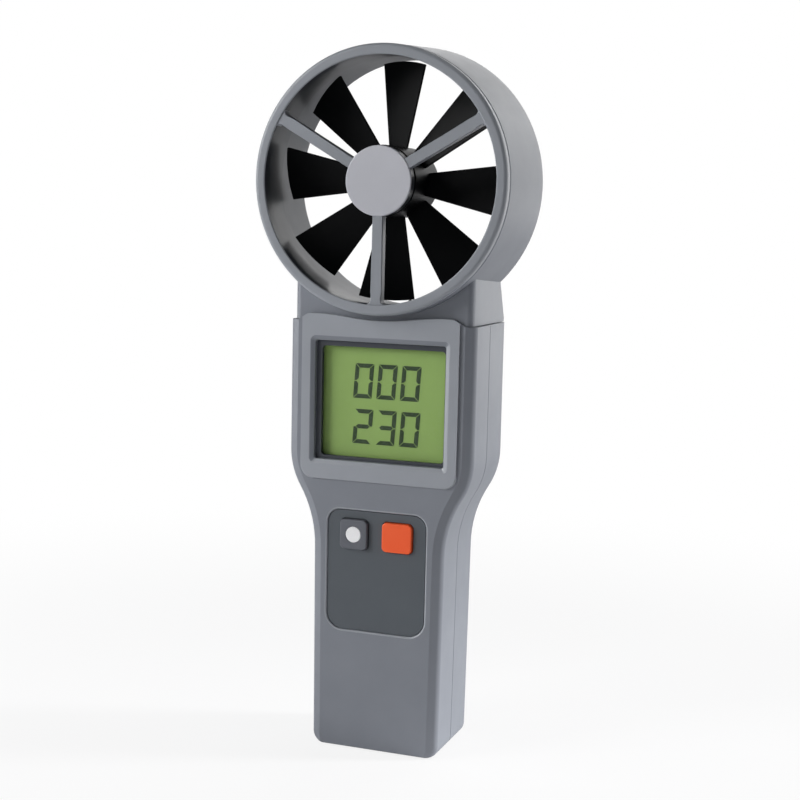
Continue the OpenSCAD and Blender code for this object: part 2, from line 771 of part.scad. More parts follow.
module vane_shroud() {
    neck_reach_z = ring_z - ring_front_r * cos(asin(neck_w / 2 / ring_front_r));
    color("#8e929b") difference() {
        union() {
            turned() polygon(concat(
                [[bore_front_r, ring_y], [ring_front_r, ring_y]],
                arc(ring_rear_r - ring_edge_r, ring_rear_y - ring_edge_r, ring_edge_r, 0, 90),
                arc(bore_rear_r + ring_edge_r, ring_rear_y - ring_edge_r, ring_edge_r, 90, 180)));
            difference() {
                intersection() {
                    neck_block(0, neck_z, neck_reach_z + ring_edge_r);
                    neck_side_view();
                }
                rod(0, ring_z, bore_rear_r + 1, neck_y - 1, rear_y + 1);
            }
            block(-tongue_w / 2, tongue_w / 2, tongue_y, tongue_back_y, tongue_z, neck_z + neck_wall);
        }
        // pocket for the guard's collar
        ring_of(bore_front_r - 1, bore_front_r + collar_wall + fit_gap,
            ring_y - 1, ring_y + collar_l + fit_gap);
        // hollow of the neck, and the passage down through the tongue
        block(-neck_w / 2 + neck_wall + neck_corner_r, neck_w / 2 - neck_wall - neck_corner_r,
            neck_y + neck_wall, tongue_y, neck_z - 1, neck_hollow_z);
        block(-tongue_bore_w / 2, tongue_bore_w / 2, tongue_y - tiny, tongue_back_y - tongue_wall,
            tongue_z - 1, neck_hollow_z);
        // groove and slot for the pickup lead
        block(-groove_w / 2, groove_w / 2, ring_y - 1, lead_down_y + lead_t + lead_gap,
            lead_top_z - lead_gap, ring_z - bore_front_r + 2);
        block(-groove_w / 2, groove_w / 2, lead_down_y - lead_gap, lead_down_y + lead_t + lead_gap,
            neck_hollow_z - 1, ring_z - bore_front_r + 2);
        translate([thermistor_x, thermistor_y, neck_hollow_z - 1])
            cylinder(d = thermistor_d + 2 * fit_gap, h = ring_z - neck_hollow_z - bore_front_r + 3);
        for (s = head_screw_spots) {
            rod(s[0], s[1], pilot_r, tongue_back_y - head_screw_l - 1, tongue_back_y + 1);
        }
    }
}

module spoke_shape() {
    reach = opening_r - spoke_fillet_r;
    half = spoke_w / 2;
    polygon(concat(
        [[-half, hub_r - hub_wall / 2], [half, hub_r - hub_wall / 2]],
        arc(half + spoke_fillet_r, reach, spoke_fillet_r, 180, 90),
        [[half + spoke_fillet_r, opening_r + 1], [-half - spoke_fillet_r, opening_r + 1]],
        arc(-half - spoke_fillet_r, reach, spoke_fillet_r, 90, 0)));
}

module guard_spider() {
    rim_back_y = front_y + rim_depth;
    color("#9a9ea6") difference() {
        union() {
            turned() polygon(concat(
                [[opening_r, rim_back_y]],
                arc(opening_r + rim_bore_edge_r, front_y + rim_bore_edge_r, rim_bore_edge_r, 180, 270),
                arc(rim_r - rim_edge_r, front_y + rim_edge_r, rim_edge_r, 270, 360),
                [[rim_r, rim_back_y]]));
            ring_of(bore_front_r, bore_front_r + collar_wall, rim_back_y - 1, ring_y + collar_l);
            turned() polygon(concat(
                [[0, hub_y]],
                arc(hub_r - hub_edge_r, hub_y + hub_edge_r, hub_edge_r, -90, 0),
                [[hub_r, hub_back_y], [hub_r - hub_wall, hub_back_y], [hub_r - hub_wall, hub_inside_y],
                    [sleeve_r, hub_inside_y], [sleeve_r, hub_inside_y + sleeve_l],
                    [bearing_d / 2 + press_gap, hub_inside_y + sleeve_l],
                    [bearing_d / 2 + press_gap, hub_inside_y], [0, hub_inside_y]]));
            for (i = [0 : spoke_count - 1]) {
                around_axis(180 + i * 360 / spoke_count)
                    intersection() {
                        upright(spoke_y, spoke_back_y) spoke_shape();
                        rotate([90, 0, 0]) cylinder(r = opening_r + 1, h = overall_depth, center = true);
                    }
            }
        }
        // groove for the pickup lead behind the lower spoke, through the rim and collar
        block(-groove_w / 2, groove_w / 2, pickup_y - lead_gap, ring_y + collar_l + 1,
            lead_top_z - lead_gap, ring_z - opening_r + 1);
        block(-groove_w / 2, groove_w / 2, pickup_y - lead_gap, spoke_back_y + 1,
            ring_z - opening_r - 1, ring_z - sensor_r);
    }
}

module pickup_board() {
    color("#2f6b46") ring_of(sleeve_r + fit_gap * 2, hub_r - hub_wall - fit_gap * 2,
        hub_inside_y, pickup_y);
}

module hall_sensor() {
    color("#202226") block(-sensor_w / 2, sensor_w / 2, pickup_y, pickup_y + sensor_t,
        ring_z + sensor_r - sensor_w / 2, ring_z + sensor_r + sensor_w / 2);
}

// flat lead: from the pickup board along the spoke, through the ring and neck to the connector
module pickup_lead() {
    x = lead_w / 2;
    color("#e8e6df") {
        block(-x, x, pickup_y, pickup_y + lead_t, lead_top_z, ring_z - hub_r + hub_wall + 1);
        block(-x, x, pickup_y, lead_down_y + lead_t, lead_top_z, lead_top_z + lead_t);
        block(-x, x, lead_down_y, lead_down_y + lead_t, lead_bend_z, lead_top_z + lead_t);
        block(-x, x, lead_down_y, lead_slot_y + lead_t, lead_bend_z, lead_bend_z + lead_t);
        block(-x, x, lead_slot_y, lead_slot_y + lead_t, lead_end_z, lead_bend_z + lead_t);
    }
}

module bearing(y) {
    ring_of(bearing_bore_r, bearing_d / 2, y, y + bearing_w);
}

module front_bearing() {
    color("#c9ccd1") bearing(front_bearing_y);
}

module rear_bearing() {
    color("#c9ccd1") bearing(rear_bearing_y);
}

// flat blade with its middle on the blade plane, pitched about its own radius
module blade() {
    inner_r = drum_r - drum_wall / 2;
    translate([0, hub_y + blade_set_back, 0]) rotate([0, 0, -blade_pitch])
        upright(-blade_t / 2, blade_t / 2)
        polygon([[-blade_root_w / 2, inner_r], [blade_root_w / 2, inner_r],
            [blade_tip_w / 2, tip_r + 1], [-blade_tip_w / 2, tip_r + 1]]);
}

module impeller() {
    color("#17181b") difference() {
        union() {
            turned() polygon([
                [drum_r - drum_wall, drum_y], [drum_r, drum_y], [drum_r, drum_back_y], [0, drum_back_y],
                [0, boss_y], [boss_r, boss_y], [boss_r, drum_back_y - back_web_t],
                [drum_r - drum_wall, drum_back_y - back_web_t],
                [drum_r - drum_wall, front_web_y + front_web_t],
                [web_hole_r, front_web_y + front_web_t], [web_hole_r, front_web_y],
                [drum_r - drum_wall, front_web_y]]);
            for (i = [0 : blade_count - 1]) {
                around_axis(blade_phase + i * 360 / blade_count) intersection() {
                    blade();
                    rotate([90, 0, 0]) cylinder(r = tip_r, h = overall_depth, center = true, $fn = 120);
                }
            }
        }
        rod(0, ring_z, shaft_d / 2 + press_gap, boss_y - 1, drum_back_y - back_web_t);
        for (side = [-1, 1]) {
            rod(side * sensor_r, ring_z, magnet_d / 2 + press_gap, front_web_y - 1, front_web_y + magnet_t);
        }
    }
}

module impeller_shaft() {
    color("#b9bcc2") rod(0, ring_z, shaft_d / 2, clip_y - fit_gap, drum_back_y - back_web_t);
}

module shaft_clip() {
    color("#b9bcc2") ring_of(shaft_d / 2 + press_gap, clip_d / 2, clip_y, clip_y + clip_t);
}

module hub_magnets() {
    color("#8b8f96") for (side = [-1, 1]) {
        rod(side * sensor_r, ring_z, magnet_d / 2, front_web_y, front_web_y + magnet_t);
    }
}

// bead on a short stem that stands up through the ring's wall
module thermistor() {
    tip_z = ring_z - bore_front_r + thermistor_reach;
    color("#1d3a2a") translate([thermistor_x, thermistor_y, 0]) {
        translate([0, 0, lead_bend_z + lead_t])
            cylinder(d = thermistor_d, h = tip_z - thermistor_d / 2 - lead_bend_z - lead_t);
        translate([0, 0, tip_z - thermistor_d / 2]) sphere(d = thermistor_d);
    }
}

module thermistor_lead() {
    x0 = thermistor_x - lead_w / 2;
    x1 = thermistor_x + lead_w / 2;
    color("#e8e6df") {
        block(x0, x1, lead_slot_y, thermistor_y + thermistor_d / 2, lead_bend_z, lead_bend_z + lead_t);
        block(x0, x1, lead_slot_y, lead_slot_y + lead_t, lead_end_z, lead_bend_z + lead_t);
    }
}

// ---- screws ----

// pan-head screw along y with its head towards the back, and a cross recess
module screw(x, z, seat_y, length, head_t = screw_head_t) {
    slot_w = screw_d / 3;
    slot_l = screw_head_d * 0.6;
    difference() {
        union() {
            rod(x, z, screw_head_d / 2, seat_y, seat_y + head_t);
            rod(x, z, screw_d / 2, seat_y - length, seat_y + tiny);
        }
        for (turn = [0, 90]) {
            translate([x, seat_y + head_t, z]) rotate([0, turn, 0])
                cube([slot_l, head_t, slot_w], center = true);
        }
    }
}

module case_screws() {
    color("#8b8f96") for (s = case_screw_spots) {
        screw(s[0], s[1], head_seat_y, head_seat_y - parting_y + screw_bite);
    }
}

module head_screws() {
    color("#8b8f96") for (s = head_screw_spots) {
        screw(s[0], s[1], low_seat_y, head_screw_l, low_head_t);
    }
}

module board_screws() {
    color("#8b8f96") for (s = board_screw_spots) {
        screw(s[0], s[1], board_back_y, screw_bite / 2 + board_t);
    }
}

// ---- body shells ----

function seam_z(x) = let (d = abs(x),
    crest = seam_mid_z + seam_crest * (1 - cos(180 * min(d, seam_crest_x) / seam_crest_x)) / 2,
    fall = min(1, max(0, (d - seam_step_x) / seam_step_w + 0.5)))
    crest - (crest_z - body_top_z) * (1 - cos(180 * fall)) / 2;

// everything above the wavy seam
module above_seam() {
    edge_x = half_head + 2;
    polygon(concat([for (x = [-edge_x : 1 : edge_x]) [x, seam_z(x)]],
        [[edge_x, ring_z], [-edge_x, ring_z]]));
}

module front_block() {
    top_z = crest_z + tiny;
    loft([
        plane_ring(outline(front_edge_w, base_edge_w, top_z), face_y),
        plane_ring(outline(0, 0, top_z), face_y + front_edge_h),
        plane_ring(outline(0, 0, top_z), parting_y - seam_gap / 2)]);
}

module key_hole(x, w, h, gap, y0, y1) {
    plate(x, key_z, w + 2 * gap, h + 2 * gap, key_r + gap, y0, y1);
}

module key_panel_shape(grow) {
    w = panel_w + 2 * grow;
    join_z = panel_mid_z;
    translate([0, (panel_z + panel_h + grow + join_z - panel_base_r) / 2])
        round_rect(w, panel_z + panel_h + grow - join_z + panel_base_r, panel_top_r);
    translate([0, (panel_z - grow + join_z + panel_base_r) / 2])
        round_rect(w, join_z + panel_base_r - panel_z + grow, panel_base_r);
}

module front_case() {
    color("#7c818a") difference() {
        union() {
            difference() {
                union() {
                    front_block();
                    plate(0, surround_z + surround_h / 2, surround_w, surround_h, surround_r,
                        surround_y, face_y + 1);
                }
                // hollow, narrower just behind the sloped edge
                upright(face_y + front_edge_h, parting_y) polygon(outline(wall, wall, body_top_z - wall));
                upright(wall_back_y, parting_y) polygon(outline(front_edge_w + 1, wall, body_top_z - wall));
            }
            for (s = case_screw_spots) {
                rod(s[0], s[1], boss_d / 2, wall_back_y - bond, parting_y - seam_gap / 2);
            }
            for (s = board_screw_spots) {
                rod(s[0], s[1], post_d / 2, wall_back_y - bond, board_y);
            }
        }
        // groove for the rear shell's lip
        upright(parting_y - lip_h - fit_gap, parting_y) difference() {
            polygon(outline(wall - lip_wall - fit_gap, wall - lip_wall - fit_gap, body_top_z - wall));
            polygon(outline(wall + fit_gap, wall + fit_gap, ring_z));
        }
        // wavy top edge in front of the neck, straight top edge behind it
        upright(surround_y - 1, parting_y) above_seam();
        block(-half_head - 1, half_head + 1, neck_y - seam_gap, parting_y, body_top_z, ring_z);
        // display recess, view and bezel seat
        hull() {
            plate(0, recess_mid_z, recess_w, recess_h, recess_r, surround_y - tiny, surround_y);
            plate(0, recess_mid_z, open_w, open_h, recess_r * 0.6,
                surround_y + recess_edge_h, surround_y + recess_edge_h + tiny);
        }
        plate(0, recess_mid_z, open_w, open_h, recess_r * 0.6, surround_y, wall_back_y + 1);
        block(-bezel_w / 2 - fit_gap, bezel_w / 2 + fit_gap, bezel_y, glass_y,
            recess_mid_z - bezel_h / 2 - fit_gap, recess_mid_z + bezel_h / 2 + fit_gap);
        // key panel pocket and key holes
        upright(face_y - 1, panel_back_y) key_panel_shape(panel_gap);
        key_hole(-mode_x, mode_w, mode_h, key_gap, panel_back_y - 1, wall_back_y + 1);
        key_hole(power_x, power_w, power_h, key_gap, panel_back_y - 1, wall_back_y + 1);
        // slot for the sensor leads in the top wall
        block(-groove_w, slot_x, parting_y - seam_gap - slot_t - lead_t, parting_y,
            body_top_z - wall - 1, ring_z);
        for (s = case_screw_spots) {
            rod(s[0], s[1], pilot_r, parting_y - screw_bite - 1, parting_y);
        }
        for (s = board_screw_spots) {
            rod(s[0], s[1], pilot_r, board_y - screw_bite / 2 - 1, board_y + 1);
        }
    }
}

module rear_block() {
    loft(concat(
        [plane_ring(outline(0, 0, body_top_z), parting_y + seam_gap / 2)],
        [for (i = [0 : round_steps]) back_ring(90 * i / round_steps, body_top_z)]));
}

module rear_case() {
    bay_x = bay_w / 2;
    inner_edge = max(wall, rear_edge_r - wall / 2);
    color("#868a93") difference() {
        union() {
            difference() {
                rear_block();
                upright(parting_y, rear_y - rear_edge_r) polygon(outline(wall, wall, body_top_z - wall));
                upright(parting_y, back_wall_y) polygon(outline(inner_edge, inner_edge, body_top_z - wall));
            }
            // lip along the sides and the base that locates the front shell
            upright(parting_y - lip_h, parting_y + wall) difference() {
                polygon(outline(wall - lip_wall, wall - lip_wall, body_top_z - wall - fit_gap));
                polygon(outline(wall, wall, ring_z));
            }
            for (s = case_screw_spots) {
                rod(s[0], s[1], boss_d / 2, parting_y + seam_gap / 2, back_wall_y + bond);
            }
            rod(0, bush_z, bush_d / 2 + wall, rear_y - bush_sink - bush_l - wall, back_wall_y + bond);
            block(-bay_x - bay_wall, bay_x + bay_wall, bay_floor_y - bay_wall, back_wall_y + bond,
                bay_z - bay_wall, bay_top_z + bay_wall);
            // blocks that hold the door's pintles
            for (side = [-1, 1]) {
                translate([side * (door_open_w / 2 + pintle_l / 2 + socket_block / 2), 0, 0])
                    block(-(pintle_l + socket_block) / 2, (pintle_l + socket_block) / 2,
                        hinge_y - socket_r - socket_block, back_wall_y + bond,
                        hinge_z - socket_r - socket_block, hinge_z + socket_r + socket_block);
            }
        }
        // battery bay and the opening for the door
        block(-bay_x, bay_x, bay_floor_y, rear_y + 1, bay_z, bay_top_z);
        upright(back_wall_y, rear_y + 1) door_outline(door_gap);
        block(-door_open_w / 2, door_open_w / 2, hinge_y - knuckle_r - door_gap, rear_y + 1,
            hinge_z - knuckle_r - door_gap, hinge_z + knuckle_r);
        rotate([0, 90, 0]) translate([-hinge_z, hinge_y, 0])
            cylinder(r = socket_r, h = door_open_w + 2 * (pintle_l + fit_gap), center = true);
        // slots for the contact tabs
        for (x = [cell_spots[0], cell_spots[cell_count - 1]]) {
            block(x - tab_w / 2 - tab_gap, x + tab_w / 2 + tab_gap, tab_y - contact_t / 2 - tab_gap,
                tab_y + contact_t / 2 + tab_gap, bay_top_z - 1, bay_top_z + bay_wall + 1);
        }
        // tongue of the vane head
        block(-tongue_w / 2 - fit_gap, tongue_w / 2 + fit_gap, tongue_y - fit_gap, back_wall_y,
            tongue_z - fit_gap, ring_z);
        // tripod bush
        rod(0, bush_z, bush_d / 2 + press_gap, rear_y - bush_sink - bush_l, rear_y + 1);
        // screws
        for (s = case_screw_spots) {
            rod(s[0], s[1], sink_r, head_seat_y, rear_y + 1);
            rod(s[0], s[1], screw_hole_r, parting_y - 1, rear_y + 1);
        }
        for (s = head_screw_spots) {
            rod(s[0], s[1], sink_r, low_seat_y, rear_y + 1);
            rod(s[0], s[1], screw_hole_r, tongue_back_y, rear_y + 1);
        }
    }
}

// ---- display ----

module lcd_bezel() {
    ledge_w = view_w + 2 * window_ledge;
    ledge_h = view_h + 2 * window_ledge;
    color("#44464e") difference() {
        block(-bezel_w / 2, bezel_w / 2, bezel_y, glass_y,
            recess_mid_z - bezel_h / 2, recess_mid_z + bezel_h / 2);
        plate(view_mid_x, view_mid_z, view_w, view_h, view_r, bezel_y - 1, glass_y + 1);
        plate(view_mid_x, view_mid_z, ledge_w, ledge_h, view_r, window_y, glass_y + 1);
    }
}

module lcd_window() {
    color("#dfe8e4", 0.3) plate(view_mid_x, view_mid_z, view_w + 2 * (window_ledge - fit_gap),
        view_h + 2 * (window_ledge - fit_gap), view_r, window_y, window_y + window_t);
}

// segments of a digit, named a to g: top, upper right, lower right, bottom, lower left, upper left, middle
function lit(digit) = [
    "abcdef", "bc", "abged", "abgcd", "fgbc", "afgcd", "afgedc", "abc", "abcdefg", "abcdfg"][digit];

function flip_x(points) = [for (p = points) [digit_w - p[0], p[1]]];
function flip_z(points) = [for (p = points) [p[0], digit_h - p[1]]];

// digit of mitred segments, from its lower left corner
module digit(value) {
    t = segment_w;
    mid = digit_h / 2;
    cut = segment_gap * sqrt(0.5);
    top = [[cut, digit_h], [digit_w - cut, digit_h],
        [digit_w - t - cut, digit_h - t], [t + cut, digit_h - t]];
    left = [[0, digit_h - cut], [t, digit_h - t - cut], [t, mid + t / 2 + cut],
        [t / 2, mid + cut], [0, mid + cut]];
    middle = [[t / 2 + cut, mid], [t + cut, mid + t / 2], [digit_w - t - cut, mid + t / 2],
        [digit_w - t / 2 - cut, mid], [digit_w - t - cut, mid - t / 2], [t + cut, mid - t / 2]];
    shapes = [["a", top], ["b", flip_x(left)], ["c", flip_x(flip_z(left))], ["d", flip_z(top)],
        ["e", flip_z(left)], ["f", left], ["g", middle]];
    for (shape = shapes) {
        if (len(search(shape[0], lit(value))) > 0) {
            polygon(shape[1]);
        }
    }
}

module lcd_segments() {
    first_x = digit_mid_x - digit_pitch - digit_w / 2;
    color("#2d4426") upright(glass_y - segment_t, glass_y)
        for (row = [[0, [2, 3, 0]], [1, [0, 0, 0]]], i = [0 : 2]) {
            translate([first_x + i * digit_pitch, digit_z + row[0] * row_pitch])
                multmatrix([[1, tan(digit_slant), 0, 0], [0, 1, 0, 0], [0, 0, 1, 0], [0, 0, 0, 1]])
                    digit(row[1][i]);
        }
}

module lcd_glass() {
    color("#84a05c") block(-glass_w / 2, glass_w / 2, glass_y, glass_back_y,
        recess_mid_z - glass_h / 2, recess_mid_z + glass_h / 2);
}

module backlight_panel() {
    margin = strip_w + 2 * strip_in;
    color("#eef2ea") block(-board_w / 2 + light_in, board_w / 2 - light_in, glass_back_y, board_y,
        recess_mid_z - glass_h / 2 + margin, recess_mid_z + glass_h / 2 - margin);
}

module contact_strips() {
    color("#b9577a") for (edge = [recess_mid_z - glass_h / 2 + strip_in,
        recess_mid_z + glass_h / 2 - strip_in - strip_w]) {
        block(-glass_w / 2 + 2, glass_w / 2 - 2, glass_back_y, board_y, edge, edge + strip_w);
    }
}

// ---- electronics ----

module main_board() {
    color("#2c6e49") difference() {
        union() {
            block(-board_w / 2, board_w / 2, board_y, board_back_y, board_step_z, board_top_z);
            block(-board_tail_w / 2, board_tail_w / 2, board_y, board_back_y, board_z, board_step_z + 1);
        }
        for (s = board_screw_spots) {
            rod(s[0], s[1], screw_hole_r, board_y - 1, board_back_y + 1);
        }
    }
}

module controller_chip() {
    color("#1c1d20") block(-chip_w / 2, chip_w / 2, board_back_y, board_back_y + chip_t,
        chip_z - chip_w / 2, chip_z + chip_w / 2);
}

module buzzer() {
    hole_r = 1;
    color("#151618") difference() {
        rod(0, buzzer_z, buzzer_d / 2, board_back_y, board_back_y + buzzer_t);
        rod(0, buzzer_z, hole_r, board_back_y + buzzer_t / 2, board_back_y + buzzer_t + 1);
    }
}

module lead_connector() {
    mid_x = thermistor_x / 2;
    color("#eceae2") difference() {
        block(mid_x - connector_w / 2, mid_x + connector_w / 2, board_back_y, board_back_y + connector_t,
            connector_z, connector_z + connector_h);
        for (x = [0, thermistor_x]) {
            block(x - lead_w / 2 - lead_gap / 2, x + lead_w / 2 + lead_gap / 2, lead_slot_y - lead_gap,
                lead_slot_y + lead_t + lead_gap, lead_end_z, connector_z + connector_h + 1);
        }
    }
}

module switch_housings() {
    bore_y = post_back_y + plunger_l + key_travel + plunger_play;
    color("#1b1c1f") for (x = [-mode_x, power_x]) {
        difference() {
            block(x - switch_w / 2, x + switch_w / 2, switch_y, board_y,
                key_z - switch_w / 2, key_z + switch_w / 2);
            rod(x, key_z, plunger_d / 2 + running_gap, switch_y - 1, bore_y);
        }
    }
}

// ---- keys ----

module key_panel() {
    color("#50555c") difference() {
        upright(panel_y, panel_back_y) key_panel_shape(0);
        key_hole(-mode_x, mode_w, mode_h, key_gap, panel_y - 1, panel_back_y + 1);
        key_hole(power_x, power_w, power_h, key_gap, panel_y - 1, panel_back_y + 1);
    }
}

module key_cap(x, w, h, proud) {
    plate(x, key_z, w, h, key_r, panel_y - proud, flange_back_y);
    plate(x, key_z, w + 2 * key_flange, h + 2 * key_flange, key_r, flange_y, flange_back_y);
    rod(x, key_z, key_post_d / 2, flange_back_y - tiny, post_back_y);
}

module plunger(x) {
    rod(x, key_z, plunger_d / 2, post_back_y, post_back_y + plunger_l);
}

module mode_key() {
    color("#4d5157") difference() {
        key_cap(-mode_x, mode_w, mode_h, mode_proud);
        rod(-mode_x, key_z, dot_d / 2 + press_gap, panel_y - mode_proud - 1, panel_y - mode_proud + dot_t);
    }
}

module mode_key_dot() {
    color("#f4f4f6") rod(-mode_x, key_z, dot_d / 2, panel_y - mode_proud, panel_y - mode_proud + dot_t);
}

module mode_plunger() {
    color("#c9c9c4") plunger(-mode_x);
}

module power_key() {
    color("#e0602f") key_cap(power_x, power_w, power_h, power_proud);
}

module power_plunger() {
    color("#c9c9c4") plunger(power_x);
}

// ---- battery bay ----

module battery_cells() {
    color("#3f6d9b") for (x = cell_spots) {
        translate([x, cell_y, cell_z]) {
            cylinder(d = cell_d, h = cell_l - nub_h);
            translate([0, 0, cell_l - nub_h - tiny]) cylinder(d = nub_d, h = nub_h + tiny);
        }
    }
}

// tube swept along points, with a ring of points at each
module swept_tube(points, d, sides) {
    last = len(points) - 1;
    function heading(i) = let (v = points[min(last, i + 1)] - points[max(0, i - 1)]) v / norm(v);
    function ring_points(i) = let (t = heading(i),
        across = abs(t[2]) > 0.9 ? [0, 1, 0] : [0, 0, 1],
        u0 = cross(across, t), u = u0 / norm(u0), v = cross(t, u))
        [for (k = [0 : sides - 1]) let (a = 360 * k / sides) points[i] + (u * cos(a) + v * sin(a)) * d / 2];
    polyhedron(
        points = [for (i = [0 : last]) each ring_points(i)],
        faces = concat(
            [[for (k = [0 : sides - 1]) k]],
            [for (i = [0 : last - 1], k = [0 : sides - 1])
                let (a = i * sides + k, b = i * sides + (k + 1) % sides)
                [a, a + sides, b + sides]],
            [for (i = [0 : last - 1], k = [0 : sides - 1])
                let (a = i * sides + k, b = i * sides + (k + 1) % sides)
                [a, b + sides, b]],
            [[for (k = [sides - 1 : -1 : 0]) last * sides + k]]));
}

// conical spring that pushes the cell's flat end
module contact_spring(x) {
    per_turn = 10;
    wire_r = spring_wire / 2;
    low_z = bay_z + contact_t + wire_r;
    high_z = cell_z - wire_r;
    steps = spring_turns * per_turn;
    coil = [for (i = [0 : steps]) let (a = 360 * i / per_turn,
        r = (spring_d + (spring_tip_d - spring_d) * i / steps - spring_wire) / 2)
        [x + r * cos(a), cell_y + r * sin(a), low_z + (high_z - low_z) * i / steps]];
    swept_tube(coil, spring_wire, 6);
}

module contact_springs() {
    color("#c9ccd1") for (x = cell_spots) {
        contact_spring(x);
    }
}

module contact_plates() {
    color("#c9ccd1") {
        for (x = cell_spots, z = [bay_z, bay_top_z - contact_t]) {
            block(x - contact_w / 2, x + contact_w / 2, cell_y - contact_w / 2, cell_y + contact_w / 2,
                z, z + contact_t);
        }
        for (x = [cell_spots[0], cell_spots[cell_count - 1]]) {
            block(x - tab_w / 2, x + tab_w / 2, tab_y - contact_t / 2, tab_y + contact_t / 2,
                bay_top_z - contact_t, bay_top_z + tab_l);
        }
    }
}

module battery_leads() {
    color("#b8322a") for (side = [1, -1]) {
        swept_tube([for (p = battery_route) [p[0] * side, p[1], p[2]]], battery_lead_d, 8);
    }
}

// door outline, square where it meets the hinge
module door_outline(grow) {
    low_z = hinge_z;
    high_z = door_top_z + grow;
    w = door_w + 2 * grow;
    translate([0, (low_z + high_z) / 2]) round_rect(w, high_z - low_z, door_corner_r);
    translate([-w / 2, low_z]) square([w, door_corner_r * 2]);
}

module battery_door() {
    rib_pitch = 2.6;
    rib_t = 1.2;
    grip_z = door_top_z - 5;
    color("#868a93") difference() {
        union() {
            upright(door_y, rear_y) door_outline(0);
            rotate([0, 90, 0]) translate([-hinge_z, hinge_y, 0]) {
                cylinder(r = knuckle_r, h = door_w, center = true);
                cylinder(r = pintle_r, h = door_w + 2 * pintle_l, center = true);
            }
        }
        block(-door_w, door_w, door_y - 1, hinge_y - knuckle_r * 0.6,
            hinge_z - 1, hinge_z + knuckle_r * 0.2);
        for (i = [0 : grip_ribs - 1]) {
            block(-grip_w / 2, grip_w / 2, rear_y - grip_depth, rear_y + 1,
                grip_z - i * rib_pitch - rib_t, grip_z - i * rib_pitch);
        }
    }
}

module door_pad() {
    color("#33353a") block(-bay_w / 2 + 2, bay_w / 2 - 2, door_y - pad_t, door_y,
        cell_z + 4, cell_top_z - 6);
}

module tripod_bush() {
    y0 = rear_y - bush_sink - bush_l;
    color("#b08d45") difference() {
        rod(0, bush_z, bush_d / 2, y0, rear_y - bush_sink);
        rod(0, bush_z, bush_bore_d / 2, rear_y - bush_sink - bush_bore_l, rear_y + 1);
    }
}

vane_shroud();
guard_spider();
pickup_board();
hall_sensor();
pickup_lead();
front_bearing();
rear_bearing();
impeller();
impeller_shaft();
shaft_clip();
hub_magnets();
thermistor();
thermistor_lead();
head_screws();
front_case();
rear_case();
lcd_bezel();
lcd_window();
lcd_segments();
lcd_glass();
backlight_panel();
contact_strips();
main_board();
controller_chip();
buzzer();
lead_connector();
switch_housings();
board_screws();
key_panel();
mode_key();
mode_key_dot();
mode_plunger();
power_key();
power_plunger();
case_screws();
battery_cells();
contact_springs();
contact_plates();
battery_leads();
battery_door();
door_pad();
tripod_bush();
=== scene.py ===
from math import cos, degrees, hypot, pi, radians, sin

import bmesh
import bpy
from mathutils import Matrix, Vector


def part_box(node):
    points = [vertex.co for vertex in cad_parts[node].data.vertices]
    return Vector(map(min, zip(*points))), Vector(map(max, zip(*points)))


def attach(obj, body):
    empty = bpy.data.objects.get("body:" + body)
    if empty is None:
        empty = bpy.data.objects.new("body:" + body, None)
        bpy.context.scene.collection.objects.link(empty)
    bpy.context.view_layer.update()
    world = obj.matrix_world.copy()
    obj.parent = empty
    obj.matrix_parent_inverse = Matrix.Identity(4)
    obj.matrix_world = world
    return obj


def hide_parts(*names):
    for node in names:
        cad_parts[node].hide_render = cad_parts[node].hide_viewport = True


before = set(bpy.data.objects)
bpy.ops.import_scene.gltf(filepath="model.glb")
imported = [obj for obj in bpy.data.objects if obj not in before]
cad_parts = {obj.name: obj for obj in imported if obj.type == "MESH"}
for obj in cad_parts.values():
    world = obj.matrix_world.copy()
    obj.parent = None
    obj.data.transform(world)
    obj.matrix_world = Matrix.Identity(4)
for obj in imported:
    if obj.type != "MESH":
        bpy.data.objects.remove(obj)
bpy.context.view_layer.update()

# A handheld vane anemometer. Pieces are drawn in millimetres and brought to metres when finished.
mm = 0.001
scene = bpy.context.scene
scene.view_settings.view_transform = "Standard"


def placeOf(node):
    low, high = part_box(node)
    return low / mm, high / mm


guardLow, guardHigh = placeOf("guard_spider")
ringAxis = Vector((0, 0, (guardLow.z + guardHigh.z) / 2))
guardFront = guardLow.y


# materials

def linear(hexColour):
    parts = [int(hexColour[i:i + 2], 16) / 255 for i in (1, 3, 5)]
    return [c / 12.92 if c <= 0.04045 else ((c + 0.055) / 1.055) ** 2.4 for c in parts] + [1]


def addNode(tree, kind, inputs=None, feeds=None, **settings):
    node = tree.nodes.new(kind)
    for key, value in settings.items():
        setattr(node, key, value)
    for key, value in (inputs or {}).items():
        node.inputs[key].default_value = value
    for key, source in (feeds or {}).items():
        tree.links.new(source, node.inputs[key])
    return node


def startMaterial(name):
    material = bpy.data.materials.new(name)
    material.use_nodes = True
    tree = material.node_tree
    surface = tree.nodes["Principled BSDF"]
    place = addNode(tree, "ShaderNodeTexCoord")
    return material, tree, surface, place.outputs["Object"]


def patternFrom(tree, place, sizeMm, detail=2.0, stretch=(1, 1, 1)):
    moved = addNode(tree, "ShaderNodeMapping", {"Scale": stretch}, {"Vector": place})
    return addNode(tree, "ShaderNodeTexNoise", {"Scale": 1 / (sizeMm * mm), "Detail": detail},
                   {"Vector": moved.outputs["Vector"]}).outputs["Fac"]


def tinted(tree, surface, factor, darkHex, lightHex, spread=(0.3, 0.7)):
    ramp = addNode(tree, "ShaderNodeValToRGB", feeds={"Fac": factor})
    darkEnd, lightEnd = ramp.color_ramp.elements
    darkEnd.position, lightEnd.position = spread
    darkEnd.color, lightEnd.color = linear(darkHex), linear(lightHex)
    tree.links.new(ramp.outputs["Color"], surface.inputs["Base Color"])


